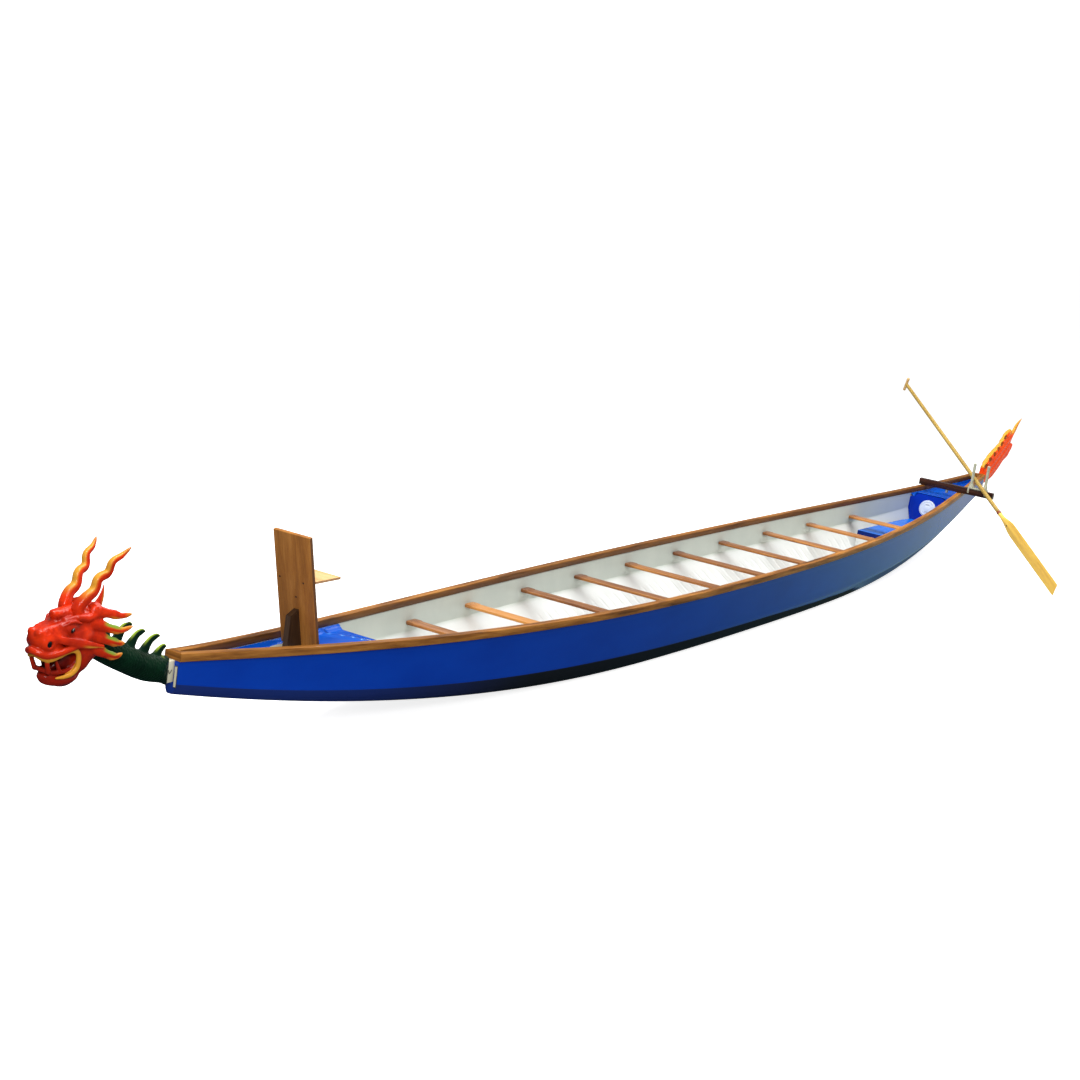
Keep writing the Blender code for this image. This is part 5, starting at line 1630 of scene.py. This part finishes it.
def make_oar(wood_look, blade_look, grip_look, collar_look, mark_look):
    """The steering oar: shaft, collar, a blade that flattens from its round neck, its plug, and grip."""
    oar_bar("oar_shaft_wood", OAR_SHAFT, wood_look, replaces=["oar_shaft"])
    oar_bar("oar_collar", OAR_COLLAR, collar_look)
    rings = []
    grain = []
    for s, half, thick in OAR_BLADE:
        flat = smooth(0.04, 0.26, s)
        ring = []
        for c, q in circle(40, start=0.5):
            out = superellipse(c, q, 2.0 + 1.0 * flat)
            spine = 1.0 + 0.55 * flat * math.exp(-((q / 0.22) ** 2)) * smooth(0.90, 0.20, s)
            rim = 1.0 - 0.45 * flat * abs(q) ** 2
            a = thick * c * out * spine * rim * (1.0 - 0.25 * flat)
            b = half * q * out
            ring.append(oar_point(OAR_NECK - 0.0003 - s, a, b))
            grain.append((s + 2.0, b, a))
        rings.append(ring)
    # The blade's tone pales it further, as painted light
    bar(
        "oar_blade_wood", rings, blade_look, grain=grain, tone=[-0.15] * len(grain), body="steering_oar",
        replaces=["oar_blade"], slot="oar_wood",
    )
    plug = [oar_point(OAR_NECK - 0.185, out, 0.006) for out in (0.0118, 0.0162)]
    round_bar("blade_plug", plug, [0.010, 0.009], mark_look, body="steering_oar", squash=0.7, domed=0.001)
    end = OAR_INBOARD + 0.0003 + 0.015
    round_bar(
        "oar_grip_wood", [oar_point(end, c=c) for c, _ in OAR_GRIP], [r for _, r in OAR_GRIP], grip_look,
        sides=28,
        body="steering_oar", replaces=["oar_grip"], slot="grip_wood",
    )


HOOK = [
    (6.268, 0.0203, 0.600), (6.276, 0.0225, 0.590), (6.286, 0.0225, 0.584), (6.291, 0.0225, 0.594),
    (6.292, 0.0205, 0.603),
]


def make_sockets(cream, dark):
    """The blocks that hold the neck and the tail, and the bow's framed blank plate and hook."""
    for name, node, half, taller in (
        ("bow", "bow_socket", 0.0195, 1.16), ("stern", "stern_socket", 0.045, 1.0),
    ):
        low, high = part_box(node)
        centre_z = (low[2] + high[2]) / 2.0
        tall = (high[2] - low[2]) * taller
        rings = []
        for x, less in ((low[0], 0.002), (low[0] + 0.003, 0.0), (high[0] - 0.003, 0.0), (high[0], 0.002)):
            section = rounded_box_ring(2.0 * (half - less), tall - 2.0 * less, 0.005)
            rings.append([(x, a, centre_z + u) for a, u in section])
        bar(name + "_socket_block", rings, cream, replaces=[node], slot="socket_cream")
    face = HULL_HALF_LENGTH + 0.0004
    for name, y0, y1, z0, z1, depth, look in (
        ("bow_plate_frame", 0.0225, 0.0435, 0.500, 0.622, 0.0022, dark),
        ("bow_plate_blank", 0.0255, 0.0405, 0.505, 0.617, 0.0034, cream),
    ):
        section = rounded_box_ring(y1 - y0, z1 - z0, 0.002, 2)
        outline = [((y0 + y1) / 2.0 + a, (z0 + z1) / 2.0 + u) for a, u in section]
        bar(name, [[(x, y, z) for y, z in outline] for x in (face, face + depth)], look)
    round_bar("socket_hook", curve_through(HOOK, 18), [0.0022] * 18, dark, sides=10)


HATCH_CENTRE = Vector((-4.865, 0.0, 0.42))
HATCH_NORMAL = Vector((0.9701425, 0.0, 0.2425356))
HATCH_SIDE = Vector((0.0, 1.0, 0.0))
HATCH_UP = HATCH_NORMAL.cross(HATCH_SIDE)
HATCH_SIDES = 64
# Radius from the hatch's middle, and height along its normal
HATCH_RING = (
    (0.0685, 0.0006), (0.0830, 0.0006), (0.0828, 0.0035), (0.0815, 0.0058), (0.0795, 0.0075),
    (0.0770, 0.0080),
    (0.0690, 0.0079), (0.0682, 0.0070),
)
HATCH_LID = (
    (0.0620, -0.0040), (0.0620, 0.0083), (0.0730, 0.0083), (0.0730, 0.0120), (0.0722, 0.0138),
    (0.0704, 0.0148),
    (0.0676, 0.0150), (0.0654, 0.0146), (0.0640, 0.0130), (0.0622, 0.0128), (0.0480, 0.0129),
    (0.0466, 0.0138),
    (0.0443, 0.0138), (0.0430, 0.0129), (0.0240, 0.0130), (0.0225, 0.0138), (0.0120, 0.0141),
    (0.0020, 0.0141),
)
# Share of the full outline of a finger grip, and height
HATCH_GRIP = ((1.0, 0.0126), (1.0, 0.0150), (0.90, 0.0160), (0.70, 0.0164))


def hatch_rings(profile):
    rings = []
    for radius, height in profile:
        base = HATCH_CENTRE + HATCH_NORMAL * height
        rings.append([base + (HATCH_SIDE * c + HATCH_UP * s) * radius for c, s in circle(HATCH_SIDES)])
    return rings


def make_hatch(white, ring_look, dark):
    """The hatch's ring, a closed band round the opening, and its lid with two finger grips."""
    points = [p for ring in hatch_rings(HATCH_RING) for p in ring]
    last = (len(HATCH_RING) - 1) * HATCH_SIDES
    faces = grid_faces(len(HATCH_RING), HATCH_SIDES, closed=True)
    for k in range(HATCH_SIDES):
        beside = (k + 1) % HATCH_SIDES
        faces.append((last + k, last + beside, beside, k))
    facts = {"replaces": ["hatch_ring"], "slot": "hatch_white"}
    orient(make_piece("hatch_ring_moulded", points, faces, ring_look, **facts))
    facts = {"replaces": ["hatch_lid"], "slot": "hatch_white", "body": "hatch"}
    bar("hatch_lid_moulded", hatch_rings(HATCH_LID), white, **facts)
    for i, turn in enumerate((math.radians(90.0), math.radians(-90.0))):
        spot = HATCH_CENTRE + (HATCH_SIDE * math.cos(turn) + HATCH_UP * math.sin(turn)) * 0.036
        way = HATCH_SIDE * -math.sin(turn) + HATCH_UP * math.cos(turn)
        out = (spot - HATCH_CENTRE).normalized()
        rings = []
        for share, height in HATCH_GRIP:
            base = spot + HATCH_NORMAL * height
            section = rounded_box_ring(0.034, 0.009, 0.0042, 4)
            rings.append([base + way * (a * share) + out * (b * share) for a, b in section])
        bar(f"hatch_grip_{i + 1}", rings, dark, body="hatch", slot="hatch_white")


# Camera, floor and light

# The camera's axes and place, fitted to the photo
CAMERA_RIGHT = Vector((-0.52260, 0.84166, 0.13601))
CAMERA_UP = Vector((-0.11241, -0.22616, 0.96758))
CAMERA_BACK = Vector((0.84514, 0.49037, 0.21280))
CAMERA_PLACE = Vector((14.269, 6.791, 3.717))

# Name, place, size, power in watts, and the place it is aimed at
LAMPS = (
    ("over", (0.0, 0.0, 7.5), (17.0, 5.0), 1150.0, (0.0, 0.0, 0.0)),
    ("key", (12.5, 5.5, 5.0), (3.0, 2.0), 430.0, (5.0, 0.0, 0.7)),
    ("lamp_1", (7.6, 0.8, 4.6), (0.25, 1.4), 40.0, (7.1, 0.0, 0.9)),
    ("lamp_2", (6.6, 2.4, 4.8), (0.25, 1.4), 40.0, (7.1, 0.0, 0.9)),
    ("lamp_3", (8.8, 2.6, 5.0), (0.25, 1.4), 40.0, (7.1, 0.0, 0.9)),
    ("lamp_4", (-5.2, 2.0, 4.5), (0.5, 2.0), 55.0, (-5.5, 0.0, 0.6)),
    ("lamp_5", (-1.5, -3.2, 4.2), (2.0, 2.0), 130.0, (-4.8, 0.8, 0.4)),
    ("lamp_6", (-8.0, 2.2, 1.3), (0.8, 0.8), 22.0, (-6.8, 0.0, 0.9)),
)

# What glossy paint mirrors of the hall's floor, from 4 m ahead of amidships to 8 m behind it
FLOOR_MIRROR_FROM = 4.0
FLOOR_MIRROR_TO = -8.0
FLOOR_MIRROR = (
    (0.0, (0.020, 0.035, 0.050)), (1.0, (0.56, 0.64, 0.60)), (0.32, (0.120, 0.270, 0.290)),
    (0.58, (0.28, 0.50, 0.42)),
)
FLOOR_RADIUS = 90.0
STUDIO_LIGHT = 0.24
STUDIO_SHOWN = 1.10


def add_object(name, data):
    made = bpy.data.objects.new(name, data)
    bpy.context.scene.collection.objects.link(made)
    return made


def make_camera():
    data = bpy.data.cameras.new("camera")
    camera = add_object("camera", data)
    turn = Matrix((CAMERA_RIGHT, CAMERA_UP, CAMERA_BACK)).transposed().to_4x4()
    camera.matrix_world = Matrix.Translation(CAMERA_PLACE) @ turn
    data.sensor_width = 36.0
    data.lens = 67.98
    data.shift_y = 0.0174
    data.clip_end = 500.0
    bpy.context.scene.camera = camera


def make_world():
    """A white studio, bright to the camera and dim as a light and in mirrors."""
    world = bpy.data.worlds.new("studio")
    bpy.context.scene.world = world
    world.use_nodes = True
    tree = world.node_tree
    rays = add_node(tree, "ShaderNodeLightPath").outputs
    inputs = {0: rays["Is Camera Ray"], 2: STUDIO_LIGHT, 3: STUDIO_SHOWN}
    seen = add_node(tree, "ShaderNodeMix", inputs, data_type="FLOAT").outputs[0]
    inputs = {0: rays["Is Glossy Ray"], 2: seen, 3: STUDIO_LIGHT}
    strength = add_node(tree, "ShaderNodeMix", inputs, data_type="FLOAT").outputs[0]
    background = tree.nodes["Background"]
    background.inputs["Color"].default_value = (1.0, 1.0, 1.0, 1.0)
    tree.links.new(strength, background.inputs["Strength"])


def make_lamps():
    for name, place, size, power, aim in LAMPS:
        data = bpy.data.lights.new(name, "AREA")
        data.shape = "RECTANGLE"
        data.size, data.size_y = size
        data.energy = power
        lamp = add_object(name, data)
        lamp.location = place
        lamp.rotation_euler = (Vector(aim) - Vector(place)).to_track_quat("-Z", "Y").to_euler()


def make_floor():
    mesh = bpy.data.meshes.new("floor")
    turns = np.linspace(0.0, 2.0 * math.pi, 96, endpoint=False)
    rim = [(FLOOR_RADIUS * math.cos(t), FLOOR_RADIUS * math.sin(t), -0.002) for t in turns]
    mesh.from_pydata(rim, [], [tuple(range(len(rim)))])
    mesh.materials.append(floor_look())
    add_object("floor", mesh)


def floor_look():
    """A pale floor, which mirrors dimly in glossy paint as a hall's grey floor does."""
    material = bpy.data.materials.new("pale_floor")
    material.use_nodes = True
    tree = material.node_tree
    tree.nodes.clear()
    matte = add_node(tree, "ShaderNodeBsdfDiffuse", {"Color": (0.82, 0.82, 0.82, 1.0)}).outputs[0]
    lift = add_node(tree, "ShaderNodeEmission", {"Strength": 0.83}).outputs[0]
    shown = add_node(tree, "ShaderNodeAddShader", {0: matte, 1: lift}).outputs[0]
    place = add_node(tree, "ShaderNodeTexCoord").outputs["Object"]
    ahead = add_node(tree, "ShaderNodeSeparateXYZ", {0: place}).outputs["X"]
    inputs = {"Value": ahead, 1: FLOOR_MIRROR_FROM, 2: FLOOR_MIRROR_TO}
    share = add_node(tree, "ShaderNodeMapRange", inputs).outputs["Result"]
    dim = add_node(tree, "ShaderNodeEmission", {"Color": add_ramp(tree, share, FLOOR_MIRROR)}).outputs[0]
    grey = add_node(tree, "ShaderNodeBsdfDiffuse", {"Color": (0.30, 0.31, 0.32, 1.0)}).outputs[0]
    rays = add_node(tree, "ShaderNodeLightPath").outputs
    unseen = add_node(tree, "ShaderNodeMixShader", {0: rays["Is Glossy Ray"], 1: grey, 2: dim}).outputs[0]
    inputs = {0: rays["Is Camera Ray"], 1: unseen, 2: shown}
    mixed = add_node(tree, "ShaderNodeMixShader", inputs).outputs[0]
    add_node(tree, "ShaderNodeOutputMaterial", {"Surface": mixed})
    return material


make_camera()
make_world()
make_lamps()
make_floor()
bpy.context.scene.view_settings.view_transform = "Standard"

DECK_BLUE = (0.0020, 0.088, 0.520)
DECK_BLUE_DARK = (0.0016, 0.060, 0.400)
RAIL_LOOK = wood(
    "rail_varnish", (0.56, 0.245, 0.050), (0.360, 0.140, 0.026), (0.090, 0.034, 0.010), coat=0.05, ior=1.18,
)
BENCH_LOOK = wood(
    "bench_varnish", (0.66, 0.290, 0.070), (0.370, 0.145, 0.040), (0.140, 0.050, 0.018), coat=0.3,
)
SCREW_LOOK = Look("dark_screws", (0.05, 0.035, 0.025), 0.35, metallic=0.6).material

make_hull_skin()
make_liner()
make_rails(RAIL_LOOK)
make_benches(BENCH_LOOK, SCREW_LOOK)
make_foredeck(gelcoat(
    "foredeck_gelcoat", DECK_BLUE, DECK_BLUE_DARK, 0.14, ior=1.2,
    # The groove's painted shade and the dimples' painted highlights
    marks=(("line", (0.0008, 0.014, 0.150)), ("dimple_highlights", (0.080, 0.330, 0.800))),
))
make_aft_deck(gelcoat("deck_gelcoat", DECK_BLUE, DECK_BLUE_DARK, 0.14, ior=1.2))
make_dragon()
make_seat(
    wood(
        "seat_board_ply", (0.520, 0.220, 0.048), (0.400, 0.155, 0.030), (0.260, 0.098, 0.022), 0.42, 0.10,
        stretch=9.0, edge=(0.150, 0.062, 0.024),
    ),
    wood(
        "seat_panel_ply", (0.960, 0.620, 0.300), (0.900, 0.550, 0.240), (0.720, 0.410, 0.160), 0.40, 0.10,
        stretch=8.0, edge=(0.240, 0.120, 0.040),
    ),
    wood(
        "seat_knee_hardwood", (0.055, 0.028, 0.013), (0.034, 0.016, 0.008), (0.018, 0.008, 0.004), 0.42,
        0.2,
    ),
    moulded("slot_plate_metal", (0.46, 0.44, 0.34), (0.34, 0.32, 0.24), 0.40),
    SCREW_LOOK,
)
LOCK_METAL = moulded("lock_coated_metal", (0.50, 0.50, 0.36), (0.36, 0.36, 0.27), 0.34, mottle=30.0)
make_arm(
    wood("arm_hardwood", (0.075, 0.024, 0.012), (0.040, 0.013, 0.008), (0.020, 0.007, 0.005), 0.30, 0.4),
    LOCK_METAL, SCREW_LOOK,
)
make_oar(
    wood(
        "oar_varnish", (0.540, 0.370, 0.092), (0.470, 0.315, 0.076), (0.350, 0.220, 0.050), 0.34, 0.1,
        stretch=10.0, figure=0.8,
    ),
    # The blade's varnish is paler than the shaft's and painted brighter still, as light on its face
    wood(
        "blade_varnish", (1.000, 0.680, 0.135), (1.000, 0.610, 0.110), (0.800, 0.430, 0.072), 0.34, 0.1,
        stretch=10.0, figure=0.8,
    ),
    wood("grip_varnish", (0.820, 0.560, 0.250), (0.720, 0.450, 0.170), (0.560, 0.320, 0.110), 0.34, 0.3),
    wood("collar_red_brown", (0.36, 0.10, 0.03), (0.26, 0.065, 0.02), (0.16, 0.04, 0.012), 0.30, 0.4),
    moulded("blade_plug_dark", (0.16, 0.085, 0.030), (0.10, 0.05, 0.02), 0.35, mottle=60.0),
)
CREAM = moulded("socket_cream_resin", (0.62, 0.60, 0.46), (0.52, 0.49, 0.36), 0.42)
make_sockets(CREAM, moulded("plate_frame_dark", (0.06, 0.055, 0.045), (0.03, 0.03, 0.025), 0.40))
HATCH_WHITE = moulded("hatch_lid_white", (0.55, 0.60, 0.70), (0.49, 0.54, 0.64), 0.32)
make_hatch(
    HATCH_WHITE, moulded("hatch_ring_white", (0.52, 0.57, 0.67), (0.46, 0.51, 0.61), 0.34),
    moulded("hatch_grip_grey", (0.30, 0.32, 0.38), (0.25, 0.27, 0.33), 0.36),
)

# Nodes of the frame that keep their own shape and get a look
DRESS = {
    # The fore bulkhead takes the liner's white as painted in shade
    "fore_bulkhead": moulded("bulkhead_satin", WALL_WHITE, WALL_WHITE_PATCH, 0.42),
    "aft_bulkhead": gelcoat(
        "bulkhead_gelcoat", (0.0016, 0.026, 0.350), (0.0012, 0.018, 0.260), 0.16, ior=1.2,
    ),
    "steer_floor": helm_floor_look(),
}
for node, look in DRESS.items():
    for material_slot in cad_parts[node].material_slots:
        material_slot.material = look
